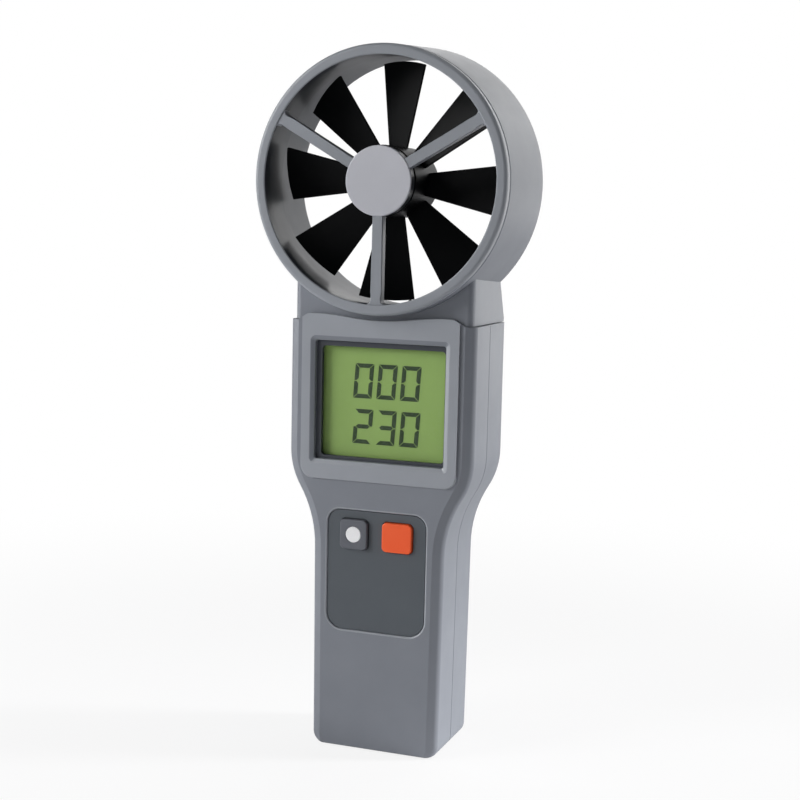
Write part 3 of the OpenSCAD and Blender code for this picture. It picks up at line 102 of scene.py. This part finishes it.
def varied(tree, surface, factor, low, high):
    spread = addNode(tree, "ShaderNodeMapRange", {"To Min": low, "To Max": high}, {"Value": factor})
    tree.links.new(spread.outputs["Result"], surface.inputs["Roughness"])


def embossed(tree, surface, height, depthMm):
    bump = addNode(tree, "ShaderNodeBump", {"Distance": depthMm * mm, "Strength": 1.0},
                   {"Height": height})
    tree.links.new(bump.outputs["Normal"], surface.inputs["Normal"])


# how far apart the soft clouds of colour and of gloss lie in a moulding, and how much its gloss changes
moulding = {"colourMm": 18, "glossMm": 6, "glossSwing": 0.04}


def mouldedPlastic(name, darkHex, lightHex, roughness, grainMm=0.6, grainDepth=0.012, ior=1.52):
    # The spark-eroded grain of the tool breaks up the highlight. Real grain is about 0.05 mm across,
    # so it is drawn some ten times coarser to show.
    material, tree, surface, place = startMaterial(name)
    surface.inputs["IOR"].default_value = ior
    tinted(tree, surface, patternFrom(tree, place, moulding["colourMm"], 3), darkHex, lightHex)
    grain = patternFrom(tree, place, grainMm, 2)
    varied(tree, surface, patternFrom(tree, place, moulding["glossMm"], 2),
           roughness - moulding["glossSwing"], roughness + moulding["glossSwing"])
    embossed(tree, surface, grain, grainDepth)
    return material


scratches = {"depthMm": 0.004, "smoother": 0.06, "rougher": 0.08, "stainMm": 4}


def solidMetal(name, darkHex, lightHex, roughness, scratchMm=0.5, stretch=(1, 12, 1)):
    # Short scratches stretch the highlight along one way. They are drawn coarser than real ones to show.
    material, tree, surface, place = startMaterial(name)
    surface.inputs["Metallic"].default_value = 1.0
    tinted(tree, surface, patternFrom(tree, place, scratches["stainMm"], 3), darkHex, lightHex)
    marks = patternFrom(tree, place, scratchMm, 2, stretch)
    varied(tree, surface, marks, roughness - scratches["smoother"], roughness + scratches["rougher"])
    embossed(tree, surface, marks, scratches["depthMm"])
    return material


# ABS mouldings of the outside: satin grey, a soft highlight and no sparkle
caseAbs = mouldedPlastic("mouldedGreyAbs", "#7e828a", "#83878f", 0.42)
ringAbs = mouldedPlastic("mouldedLightGreyAbs", "#7e828a", "#83878f", 0.38)
guardAbs = mouldedPlastic("satinGreyAbs", "#8f9399", "#94989f", 0.38, 0.5, 0.006)
# the raised surround and the hub face are a smoother, paler grey; the same pale grey on the slope round the
# key panel is a painted highlight
surroundAndHighlightAbs = mouldedPlastic("paleGreyAbsAndPaintedHighlight", "#9a9ea5", "#9fa3aa", 0.34, 0.5, 0.004)
hubAbs = mouldedPlastic("smoothLightGreyAbs", "#bdbec5", "#c3c4cb", 0.4, 0.5, 0.003)
# the bore is painted dark as shade and almost without shine, with a deeper painted shade in front of the wheel
# than behind it; the deeper one is also the painted shade inside the guard
paintedShadeBoreAbs = mouldedPlastic("greyAbsWithPaintedShade", "#45484d", "#4a4d52", 0.4, 0.5, 0.003)
deepPaintedShadeAbs = mouldedPlastic("greyAbsWithDeepPaintedShade", "#373a3f", "#3b3e43", 0.36, 0.5, 0.003)
bezelAbs = mouldedPlastic("darkGreyAbs", "#3a3e46", "#40444c", 0.42, 0.5, 0.006)  # a dull dark line
# nylon filled with black: flat and deep, so the blades read as cut-outs
bladeNylon = mouldedPlastic("blackNylon", "#050608", "#08090b", 0.5, 0.7, 0.01)
ivoryNylon = mouldedPlastic("ivoryNylon", "#dedbd0", "#e8e5da", 0.45, 0.5, 0.006)  # plain warm white
dullLevel = 0.14
for dullPlastic in (paintedShadeBoreAbs, deepPaintedShadeAbs, bladeNylon):
    dullPlastic.node_tree.nodes["Principled BSDF"].inputs["Specular IOR Level"].default_value = dullLevel
# back-printed polycarbonate sheet: an even dark grey with a faint sheen
panelPc = mouldedPlastic("printedPolycarbonate", "#51575d", "#555b61", 0.5, 0.4, 0.006)
# silicone rubber: soft wide highlights on full colours
keyRubber = mouldedPlastic("darkSiliconeRubber", "#64676e", "#696c73", 0.5, 0.4, 0.008, 1.42)
orangeRubber = mouldedPlastic("orangeSiliconeRubber", "#fd5f2c", "#ff6532", 0.45, 0.4, 0.006, 1.42)
dotRubber = mouldedPlastic("whiteSiliconeRubber", "#fbfbfd", "#ffffff", 0.45, 0.4, 0.004, 1.42)
stripRubber = mouldedPlastic("zebraStripRubber", "#a94a6b", "#bd5c7e", 0.6, 0.4, 0.01, 1.42)
# inner parts: moulded epoxy is matt, the board shines through its mask, frosted acrylic spreads light
blackEpoxy = mouldedPlastic("blackEpoxy", "#17181b", "#1e1f23", 0.5, 0.3, 0.01)
boardEpoxy = mouldedPlastic("solderMaskedBoard", "#1f5a3b", "#2a6a48", 0.35, 0.35, 0.01)
diffuserAcrylic = mouldedPlastic("frostedAcrylic", "#e6ebe3", "#f0f4ee", 0.6, 0.5, 0.006, 1.49)
# extruded vinyl is smooth, a glazed bead looks wet, foam has open cells and no shine, and shrunk film is tight
leadVinyl = mouldedPlastic("redVinyl", "#a52620", "#b8322a", 0.42, 0.5, 0.006)
beadGlass = mouldedPlastic("greenGlazedBead", "#17301f", "#1d3f2b", 0.2, 0.5, 0.003)
foamPu = mouldedPlastic("openCellFoam", "#26282c", "#3c3f45", 0.9, 0.8, 0.12)
shrinkSleeve = mouldedPlastic("blueShrinkSleeve", "#315f92", "#3a6aa0", 0.3, 0.6, 0.004)
# plated screws are bright and a little brushed, ground steel is cleaner, turned brass is warm
screwSteel = solidMetal("zincPlatedSteel", "#9b9fa6", "#b3b7bd", 0.34)
shaftSteel = solidMetal("groundStainlessSteel", "#b3b6bc", "#c6c9ce", 0.22)
bushBrass = solidMetal("turnedBrass", "#b08a3e", "#c49a4a", 0.3, 0.4, (6, 1, 6))
# the display: a matt green film behind the glass, and segments that darken it
lcdFilm = mouldedPlastic("lcdReflectorFilm", "#92b45c", "#97b961", 0.6, 0.5, 0.002)
segmentInk = mouldedPlastic("lcdSegment", "#1f3a10", "#243f14", 0.5, 0.4, 0.002)

# cast clear acrylic: almost nothing but its gloss is seen
clearSheet = {"alpha": 0.014, "ior": 1.49, "colourMm": 12, "glossMm": 5, "roughness": (0.03, 0.07)}
windowAcrylic, windowTree, windowSurface, windowPlace = startMaterial("clearAcrylic")
windowSurface.inputs["Alpha"].default_value = clearSheet["alpha"]
windowSurface.inputs["IOR"].default_value = clearSheet["ior"]
tinted(windowTree, windowSurface, patternFrom(windowTree, windowPlace, clearSheet["colourMm"]),
       "#c9d1cc", "#d3d8d5")
varied(windowTree, windowSurface, patternFrom(windowTree, windowPlace, clearSheet["glossMm"]),
       *clearSheet["roughness"])
print("materials ready")


# shaping

merging = {"doubles": 0.003, "slivers": 0.0005, "flatAngle": 0.4}


def mergedCopy(node):
    bm = bmesh.new()
    bm.from_mesh(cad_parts[node].data)
    bmesh.ops.scale(bm, vec=(1 / mm,) * 3, verts=bm.verts)
    bmesh.ops.remove_doubles(bm, verts=bm.verts, dist=merging["doubles"])
    bmesh.ops.dissolve_degenerate(bm, dist=merging["slivers"], edges=bm.edges)
    bmesh.ops.dissolve_limit(bm, angle_limit=radians(merging["flatAngle"]), verts=bm.verts, edges=bm.edges)
    return bm


def softEdges(bm, width, segments=2, pick=None, minAngle=20, clamp=True, maxAngle=180):
    edges = [e for e in bm.edges if len(e.link_faces) == 2
             and minAngle < degrees(e.calc_face_angle(0)) < maxAngle
             and (pick is None or all(pick(v.co) for v in e.verts))]
    if edges:
        bmesh.ops.bevel(bm, geom=edges, offset=width, offset_type="OFFSET", segments=segments, profile=0.5,
                        affect="EDGES", clamp_overlap=clamp, material=-1, loop_slide=True)


sharpAngle = 34  # edges that fold more than this stay crisp


def finishPiece(bm, name, body, nodes, materials, others=()):
    for face in bm.faces:
        face.material_index = 0
        for index, chosen in enumerate(others, 1):
            if chosen(face.calc_center_median(), face.normal):
                face.material_index = index
    bmesh.ops.scale(bm, vec=(mm,) * 3, verts=bm.verts)
    for edge in bm.edges:
        edge.smooth = not (len(edge.link_faces) == 2 and edge.calc_face_angle(0) > radians(sharpAngle))
    for face in bm.faces:
        face.smooth = True
    mesh = bpy.data.meshes.new(name)
    bm.to_mesh(mesh)
    bm.free()
    for material in materials:
        mesh.materials.append(material)
    piece = bpy.data.objects.new(name, mesh)
    scene.collection.objects.link(piece)
    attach(piece, body)
    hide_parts(*nodes)
    weigh = piece.modifiers.new("flatFaces", "WEIGHTED_NORMAL")
    weigh.keep_sharp = True


def near(value, target, slack=0.06):
    return abs(value - target) < slack


def between(value, limits):
    return limits[0] < value < limits[1]


def fromAxis(p):
    return hypot(p.x, p.z - ringAxis.z)


def turnedShape(profile, closed=True, steps=144):
    bm = bmesh.new()
    verts = [bm.verts.new((r, y, 0)) for r, y in profile]
    edges = [bm.edges.new(pair) for pair in zip(verts, verts[1:] + verts[:1])
             if closed or pair[1] is not verts[0]]
    bmesh.ops.spin(bm, geom=verts + edges, cent=(0, 0, 0), axis=(0, 1, 0), dvec=(0, 0, 0), angle=2 * pi,
                   steps=steps, use_merge=True, use_duplicate=False)
    bmesh.ops.remove_doubles(bm, verts=bm.verts, dist=0.001)
    bmesh.ops.recalc_face_normals(bm, faces=bm.faces)
    bmesh.ops.translate(bm, vec=ringAxis, verts=bm.verts)
    return bm


def joined(shapes):
    whole = bmesh.new()
    for shape in shapes:
        mesh = bpy.data.meshes.new("part")
        shape.to_mesh(mesh)
        shape.free()
        whole.from_mesh(mesh)
        bpy.data.meshes.remove(mesh)
    return whole


# The front shell: its faces lie at set depths, and each run of edges gets its own round.
shell = {
    "face": -15.5, "surround": -16.4, "sideTop": -13.5, "recessFoot": -15.6, "parting": 2.9,
    "corner": 1.5, "slope": 0.9, "step": 0.42, "recess": 0.3, "rim": 0.75, "small": 0.15,
    "outerX": 25.6, "baseTop": 4.7, "handleX": 21, "handleTop": 104, "footTop": 40, "headX": 31.6,
    "stepX": 29, "stepFoot": 109.5, "stepTop": 164.9, "recessX": 28.2, "recessZ": (110.4, 160.2),
    "rimX": 20.6, "rimTop": 97}
# where the paler grey lies: the raised surround, less its recess slopes that face right or down, which keep
# the darker grey as painted shade, and the slope round the key panel, where it is a painted highlight
pale = {"behind": -15.62, "foot": 104.9, "halfWidth": 31.5, "paintedShadeTilt": 0.2,
        "rimX": 20.8, "rimZ": (46, 95.4), "rimY": (-15.48, -14.95), "rimTilt": (0.1, 0.98)}


def onCorner(p):
    return near(p.y, shell["sideTop"]) and (abs(p.x) > shell["outerX"] or p.z < shell["baseTop"])


def onSlope(p):
    onHandleSide = abs(p.x) > shell["handleX"] and p.z < shell["handleTop"]
    return near(p.y, shell["face"]) and (onHandleSide or p.z < shell["footTop"]
                                         or abs(p.x) > shell["headX"])


def onStep(p):
    return ((near(p.y, shell["surround"]) or near(p.y, shell["face"]))
            and between(p.z, (shell["handleTop"], shell["stepTop"]))
            and (abs(p.x) > shell["stepX"] or p.z < shell["stepFoot"]))


def besideRecess(p):
    return abs(p.x) < shell["recessX"] and between(p.z, shell["recessZ"])


def onRecess(p):
    return besideRecess(p) and (near(p.y, shell["surround"]) or near(p.y, shell["recessFoot"]))


def onRim(p):
    return near(p.y, shell["face"]) and p.z < shell["rimTop"] and abs(p.x) < shell["rimX"]


def paleOrPaintedHighlight(c, n):
    # recess slopes facing right or down keep the darker grey as painted shade
    inPaintedShade = besideRecess(c) and (n.x > pale["paintedShadeTilt"] or n.z < -pale["paintedShadeTilt"])
    onSurround = c.y < pale["behind"] and c.z > pale["foot"] and abs(c.x) < pale["halfWidth"]
    # the slope round the key panel gets the paler grey as a painted highlight
    onPaintedHighlightRim = (abs(c.x) < pale["rimX"] and between(c.z, pale["rimZ"]) and between(c.y, pale["rimY"])
                  and between(-n.y, pale["rimTilt"]))
    return onSurround and not inPaintedShade or onPaintedHighlightRim


bm = mergedCopy("front_case")
softEdges(bm, shell["corner"], 5, onCorner, 18, False, 75)
softEdges(bm, shell["slope"], 3, onSlope, 8, True, 50)
softEdges(bm, shell["step"], 3, onStep, 20, False)
softEdges(bm, shell["recess"], 3, onRecess, 12, False)
softEdges(bm, shell["rim"], 3, onRim, 20, False)
softEdges(bm, shell["small"], 2, lambda p: near(p.y, shell["parting"]), 30)
finishPiece(bm, "front_shell", "meter_body", ["front_case"], [caseAbs, surroundAndHighlightAbs], [paleOrPaintedHighlight])
print("front shell done")

# The guard: a turned rim with its collar, a turned hub cup with its bearing sleeve, and three spokes.
guard = {
    "rimR": 49.15, "openR": 45.1, "rimBack": -18.2, "collarIn": 46.0, "collarOut": 47.2, "collarBack": -15.1,
    "outerRound": 1.5, "innerRound": 0.5, "hubR": 12.85, "hubFront": -21.1, "hubBack": -17.2,
    "hubWall": 1.6, "hubFace": 1.8, "hubRound": 0.55, "sleeveR": 4.4, "sleeveBore": 3.02, "sleeveBack": 1.1}
spokeForm = {"turns": (180, 300, 60), "half": 2.1, "root": 11.6, "front": -20.7, "back": -17.7,
             "round": 0.4, "roundPast": 0.5, "fillet": 1.7, "footHalf": 5.7, "footDrop": 0.45,
             "footReach": 0.9, "riseRun": 4.5, "riseEnd": 3.6, "flush": 0.75}
# where the painted shade begins inside the guard, behind the rim's and the hub's front edges
paintedShadeStart = {"hubEdge": 0.5, "hubSide": 0.7, "rimEdge": 0.6, "collar": 46.5, "slack": 0.1, "frontward": -0.5}
hubInside = guard["hubFront"] + guard["hubFace"]
cupR = guard["hubR"] - guard["hubWall"]

rim = turnedShape([
    (guard["openR"], guardFront), (guard["rimR"], guardFront), (guard["rimR"], guard["rimBack"]),
    (guard["collarOut"], guard["rimBack"]), (guard["collarOut"], guard["collarBack"]),
    (guard["collarIn"], guard["collarBack"]), (guard["collarIn"], guard["rimBack"]),
    (guard["openR"], guard["rimBack"])])
softEdges(rim, guard["outerRound"], 6,
          lambda p: near(p.y, guardFront) and near(fromAxis(p), guard["rimR"]), 20, False)
softEdges(rim, guard["innerRound"], 4,
          lambda p: near(p.y, guardFront) and near(fromAxis(p), guard["openR"]), 20, False)
hub = turnedShape([
    (0, guard["hubFront"]), (guard["hubR"], guard["hubFront"]), (guard["hubR"], guard["hubBack"]),
    (cupR, guard["hubBack"]), (cupR, hubInside), (guard["sleeveR"], hubInside),
    (guard["sleeveR"], guard["sleeveBack"]), (guard["sleeveBore"], guard["sleeveBack"]),
    (guard["sleeveBore"], hubInside), (0, hubInside)], closed=False)
softEdges(hub, guard["hubRound"], 4,
          lambda p: near(p.y, guard["hubFront"]) and near(fromAxis(p), guard["hubR"]), 20, False)
spokes = []
for turn in spokeForm["turns"]:
    spoke = bmesh.new()
    half, foot, end = spokeForm["half"], spokeForm["footHalf"], guard["openR"]
    outline = [(half, spokeForm["root"]), (half, end - spokeForm["riseRun"]), (half, end),
               (foot, end - spokeForm["footDrop"]), (foot, end + spokeForm["footReach"])]
    outline += [(-x, r) for x, r in reversed(outline)]
    flat = spoke.faces.new([spoke.verts.new((x, spokeForm["back"], r)) for x, r in outline])
    corners = [v for v in flat.verts if near(abs(v.co.x), half) and near(v.co.z, end)]
    bmesh.ops.bevel(spoke, geom=corners, offset=spokeForm["fillet"], offset_type="OFFSET", segments=5,
                    profile=0.5, affect="VERTICES", material=-1)
    front = bmesh.ops.extrude_face_region(spoke, geom=spoke.faces[:])["geom"]
    for vert in [v for v in front if isinstance(v, bmesh.types.BMVert)]:
        # the spoke comes up nearly flush with the rim along an easy curve
        rise = min(max((vert.co.z - end + spokeForm["riseRun"]) / spokeForm["riseEnd"], 0), 1)
        vert.co.y = spokeForm["front"] - spokeForm["flush"] * rise * rise * (3 - 2 * rise)
    bmesh.ops.recalc_face_normals(spoke, faces=spoke.faces)
    softEdges(spoke, spokeForm["round"], 3, lambda p: p.y < spokeForm["front"] + 0.05
              and p.z < end + spokeForm["roundPast"], 40, False)
    bmesh.ops.rotate(spoke, cent=(0, 0, 0), matrix=Matrix.Rotation(radians(turn), 3, "Y"), verts=spoke.verts)
    bmesh.ops.translate(spoke, vec=ringAxis, verts=spoke.verts)
    spokes.append(spoke)


def onHubFace(c, n):
    return fromAxis(c) < guard["hubR"] and c.y < guard["hubFront"] + paintedShadeStart["hubEdge"]


def guardPaintedShade(c, n):
    inMouth = (between(fromAxis(c), (guard["openR"] - paintedShadeStart["slack"], paintedShadeStart["collar"]))
               and c.y > guardFront + paintedShadeStart["rimEdge"])
    onHubSide = (fromAxis(c) < guard["hubR"] + paintedShadeStart["slack"]
                 and c.y > guard["hubFront"] + paintedShadeStart["hubSide"] and n.y > paintedShadeStart["frontward"])
    return inMouth or onHubSide


# the hub face is a paler grey; the mouth of the rim and the sides of the hub carry painted shade
finishPiece(joined([rim, hub] + spokes), "guard", "meter_body", ["guard_spider"],
            [guardAbs, hubAbs, deepPaintedShadeAbs], [onHubFace, guardPaintedShade])
print("guard done")

# The vane ring with its neck: the bore is painted with shade, dark grey in front of where the wheel begins and
# mid grey behind it.
ring = {"boreR": 47.5, "boreY": (-18, 17.2), "inward": 0.5, "paintedShadeStep": -4.0, "front": -18.1,
        "frontEdge": 0.6, "frontR": 48.5, "ease": 0.2, "easeR": 52}


# the bore faces that carry the painted shade
def inPaintedShadeBore(c, n):
    inward = n.x * c.x + n.z * (c.z - ringAxis.z)
    return (fromAxis(c) < ring["boreR"] and between(c.y, ring["boreY"])
            and inward < -ring["inward"] * fromAxis(c))


bm = mergedCopy("vane_shroud")
# the mesh is cut where the painted shade of the bore changes
bmesh.ops.bisect_plane(bm, geom=bm.verts[:] + bm.edges[:] + bm.faces[:], plane_co=(0, ring["paintedShadeStep"], 0),
                       plane_no=(0, 1, 0))
softEdges(bm, ring["frontEdge"], 4, lambda p: near(p.y, ring["front"]) and fromAxis(p) > ring["frontR"],
          30, False)
softEdges(bm, ring["ease"], 2, lambda p: fromAxis(p) > ring["easeR"], 30)
finishPiece(bm, "vane_ring", "meter_body", ["vane_shroud"], [ringAbs, paintedShadeBoreAbs, deepPaintedShadeAbs],
            [lambda c, n: inPaintedShadeBore(c, n) and c.y > ring["paintedShadeStep"],
             lambda c, n: inPaintedShadeBore(c, n) and c.y < ring["paintedShadeStep"]])
print("ring done")

# The keys: caps with a rounded front edge.
keyRound = 0.5
keys = [
    ("left_key", "mode_key", keyRubber, "key_dark"),
    ("right_key", "power_key", orangeRubber, "key_orange"),
]
for name, node, material, slotName in keys:
    low, high = placeOf(node)
    bm = mergedCopy(node)
    softEdges(bm, keyRound, 4, lambda p: near(p.y, low.y), 40, False)
    finishPiece(bm, name, node, [node], [material])
print("keys done")

# Every other piece keeps its drawn form: name, node, body, slot, material and width of its eased edges.
plainPieces = [
    ("rear_shell", "rear_case", "meter_body", "case_grey", caseAbs, 0.15),
    ("impeller_wheel", "impeller", "impeller", "blade_black", bladeNylon, 0.12),
    ("display_bezel", "lcd_bezel", "meter_body", "bezel_dark", bezelAbs, 0.2),
    ("display_window", "lcd_window", "meter_body", "window_clear", windowAcrylic, 0.1),
    ("display_digits", "lcd_segments", "meter_body", "segment_dark", segmentInk, 0),
    ("display_glass", "lcd_glass", "meter_body", "lcd_green", lcdFilm, 0.1),
    ("keypad_panel", "key_panel", "meter_body", "panel_dark", panelPc, 0.12),
    ("left_key_disc", "mode_key_dot", "mode_key", "dot_white", dotRubber, 0.12),
    ("left_key_plunger", "mode_plunger", "mode_key", "ivory", ivoryNylon, 0.15),
    ("right_key_plunger", "power_plunger", "power_key", "ivory", ivoryNylon, 0.15),
    ("bay_door", "battery_door", "battery_door", "case_grey", caseAbs, 0.15),
    ("bay_door_pad", "door_pad", "battery_door", "foam", foamPu, 0.15),
    ("shell_screws", "case_screws", "meter_body", "steel", screwSteel, 0.12),
    ("neck_screws", "head_screws", "meter_body", "steel", screwSteel, 0.12),
    ("circuit_screws", "board_screws", "meter_body", "steel", screwSteel, 0.12),
    ("cells", "battery_cells", "meter_body", "cell_blue", shrinkSleeve, 0.3),
    ("cell_springs", "contact_springs", "meter_body", "steel", shaftSteel, 0),
    ("cell_contacts", "contact_plates", "meter_body", "steel", shaftSteel, 0.05),
    ("cell_leads", "battery_leads", "meter_body", "lead_red", leadVinyl, 0),
    ("tripod_thread", "tripod_bush", "meter_body", "brass", bushBrass, 0.2),
    ("air_bead", "thermistor", "meter_body", "bead_green", beadGlass, 0),
    ("air_bead_lead", "thermistor_lead", "meter_body", "ivory", ivoryNylon, 0.05),
    ("hub_board", "pickup_board", "meter_body", "board_green", boardEpoxy, 0.05),
    ("hub_sensor", "hall_sensor", "meter_body", "part_black", blackEpoxy, 0.1),
    ("hub_lead", "pickup_lead", "meter_body", "ivory", ivoryNylon, 0.05),
    ("bearing_front", "front_bearing", "meter_body", "steel", shaftSteel, 0.1),
    ("bearing_rear", "rear_bearing", "meter_body", "steel", shaftSteel, 0.1),
    ("wheel_shaft", "impeller_shaft", "impeller", "steel", shaftSteel, 0.1),
    ("wheel_clip", "shaft_clip", "impeller", "steel", shaftSteel, 0.05),
    ("wheel_magnets", "hub_magnets", "impeller", "steel", shaftSteel, 0.1),
    ("light_guide", "backlight_panel", "meter_body", "diffuser_white", diffuserAcrylic, 0.1),
    ("rubber_strips", "contact_strips", "meter_body", "strip_pink", stripRubber, 0.1),
    ("circuit_board", "main_board", "meter_body", "board_green", boardEpoxy, 0.05),
    ("control_chip", "controller_chip", "meter_body", "part_black", blackEpoxy, 0.1),
    ("sounder", "buzzer", "meter_body", "part_black", blackEpoxy, 0.2),
    ("lead_socket", "lead_connector", "meter_body", "ivory", ivoryNylon, 0.1),
    ("key_switches", "switch_housings", "meter_body", "part_black", blackEpoxy, 0.1),
]
for name, node, body, slotName, material, ease in plainPieces:
    bm = mergedCopy(node)
    if ease:
        softEdges(bm, ease, 2, None, 30)
    finishPiece(bm, name, body, [node], [material])
print("plain pieces done")

# The floor is matt white paint that keeps the object's shadow. To the camera it fades to white further out.
studio = {"floorSide": 8, "floorHex": "#f2f2f4", "floorRoughness": 0.8, "nearGlow": 0.84, "nearReach": 0.12,
          "farReach": 0.5, "worldHex": "#eceef4", "worldLevel": 0.05}

floorMesh = bmesh.new()
bmesh.ops.create_grid(floorMesh, x_segments=1, y_segments=1, size=studio["floorSide"] / 2)
floorData = bpy.data.meshes.new("floor")
floorMesh.to_mesh(floorData)
floorMesh.free()
floor = bpy.data.objects.new("floor", floorData)
scene.collection.objects.link(floor)
floorPaint, floorTree, floorSurface, floorPlace = startMaterial("paleStudioFloor")
floorSurface.inputs["Base Color"].default_value = linear(studio["floorHex"])
floorSurface.inputs["Roughness"].default_value = studio["floorRoughness"]
floorSurface.inputs["Specular IOR Level"].default_value = 0.0
glow = addNode(floorTree, "ShaderNodeEmission", {"Color": (1, 1, 1, 1), "Strength": 1.0})
path = addNode(floorTree, "ShaderNodeLightPath")
reach = addNode(floorTree, "ShaderNodeVectorMath", feeds={0: floorPlace}, operation="LENGTH")
fade = addNode(floorTree, "ShaderNodeMapRange", {
    "From Min": studio["nearReach"], "From Max": studio["farReach"], "To Min": studio["nearGlow"],
    "To Max": 1.0}, {"Value": reach.outputs["Value"]}, interpolation_type="SMOOTHSTEP")
share = addNode(floorTree, "ShaderNodeMath", {}, {
    0: path.outputs["Is Camera Ray"], 1: fade.outputs["Result"]}, operation="MULTIPLY")
blend = addNode(floorTree, "ShaderNodeMixShader", feeds={"Fac": share.outputs["Value"]})
floorTree.links.new(floorSurface.outputs["BSDF"], blend.inputs[1])
floorTree.links.new(glow.outputs["Emission"], blend.inputs[2])
floorTree.links.new(blend.outputs["Shader"], floorTree.nodes["Material Output"].inputs["Surface"])
floorData.materials.append(floorPaint)

# The world is white where the camera or the clear window looks out, and dim as a light.
world = bpy.data.worlds.new("studio")
scene.world = world
world.use_nodes = True
worldTree = world.node_tree
rays = addNode(worldTree, "ShaderNodeLightPath")
soft = worldTree.nodes["Background"]
soft.inputs["Color"].default_value = linear(studio["worldHex"])
soft.inputs["Strength"].default_value = studio["worldLevel"]
white = addNode(worldTree, "ShaderNodeBackground", {"Color": (1, 1, 1, 1), "Strength": 1.0})
seen = addNode(worldTree, "ShaderNodeMath", {}, {
    0: rays.outputs["Is Camera Ray"], 1: rays.outputs["Is Transmission Ray"]}, operation="MAXIMUM")
skyMix = addNode(worldTree, "ShaderNodeMixShader", feeds={"Fac": seen.outputs["Value"]})
worldTree.links.new(soft.outputs["Background"], skyMix.inputs[1])
worldTree.links.new(white.outputs["Background"], skyMix.inputs[2])
worldTree.links.new(skyMix.outputs["Shader"], worldTree.nodes["World Output"].inputs["Surface"])


def placeLamp(lampData, power, spot, aim):
    lampData.energy = power
    lamp = bpy.data.objects.new(lampData.name, lampData)
    lamp.location = spot
    lamp.rotation_euler = (Vector(aim) - Vector(spot)).to_track_quat("-Z", "Y").to_euler()
    scene.collection.objects.link(lamp)


# soft boxes, in metres and watts: name, place, aim, size and power
lamps = [
    ("rightLamp", (1.0, 0.5, 0.4), (0, 0, 0.12), (0.5, 0.8), 4.4),
    ("leftFrontLamp", (-0.85, -0.75, 0.6), (0, 0, 0.13), (0.5, 0.7), 7.6),
    ("leftLamp", (-1.05, -0.25, 0.3), (0, 0, 0.12), (0.4, 0.9), 4.4),
    ("frontLamp", (0, -1.5, 0.35), (0, 0, 0.15), (0.7, 0.7), 1.4),
    ("topLamp", (0.2, 0.1, 1.25), (0, 0, 0.2), (0.7, 0.5), 1.2),
    ("backLamp", (0.1, 1.1, 0.4), (0, 0, 0.18), (1.0, 0.8), 6.0),
]
for name, spot, aim, (width, height), power in lamps:
    lampData = bpy.data.lights.new(name, "AREA")
    lampData.shape = "RECTANGLE"
    lampData.size, lampData.size_y = width, height
    placeLamp(lampData, power, spot, aim)

# a soft-edged spot lifts the foot of the right side
lowLamp = {"spot": (1.0, 0.4, 0.35), "aim": (0.02, 0, -0.01), "cone": 17, "softness": 0.1, "power": 58}
lampData = bpy.data.lights.new("lowRightLamp", "SPOT")
lampData.spot_size, lampData.spot_blend = radians(lowLamp["cone"]), 1.0
lampData.shadow_soft_size = lowLamp["softness"]
placeLamp(lampData, lowLamp["power"], lowLamp["spot"], lowLamp["aim"])

# the camera: angles in degrees, and lens, sensor, distances and aim in millimetres
view = {"yaw": 20.4, "pitch": 7.09, "roll": 1.3, "lens": 67.49, "sensor": 36, "nearest": 10,
        "distance": 556.0, "aim": (8.75, -16.4, 137.17)}
yaw, pitch, roll = (radians(view[k]) for k in ("yaw", "pitch", "roll"))
back = Vector((sin(yaw) * cos(pitch), -cos(yaw) * cos(pitch), sin(pitch)))
right = Vector((cos(yaw), sin(yaw), 0))
up = back.cross(right)
turnedRight = right * cos(roll) + up * sin(roll)
turnedUp = up * cos(roll) - right * sin(roll)
cameraData = bpy.data.cameras.new("camera")
cameraData.lens = view["lens"]
cameraData.sensor_width = view["sensor"]
cameraData.clip_start = view["nearest"] * mm
camera = bpy.data.objects.new("camera", cameraData)
axes = Matrix((turnedRight, turnedUp, back)).transposed().to_4x4()
camera.matrix_world = Matrix.Translation((Vector(view["aim"]) + back * view["distance"]) * mm) @ axes
scene.collection.objects.link(camera)
scene.camera = camera
print("stage done")
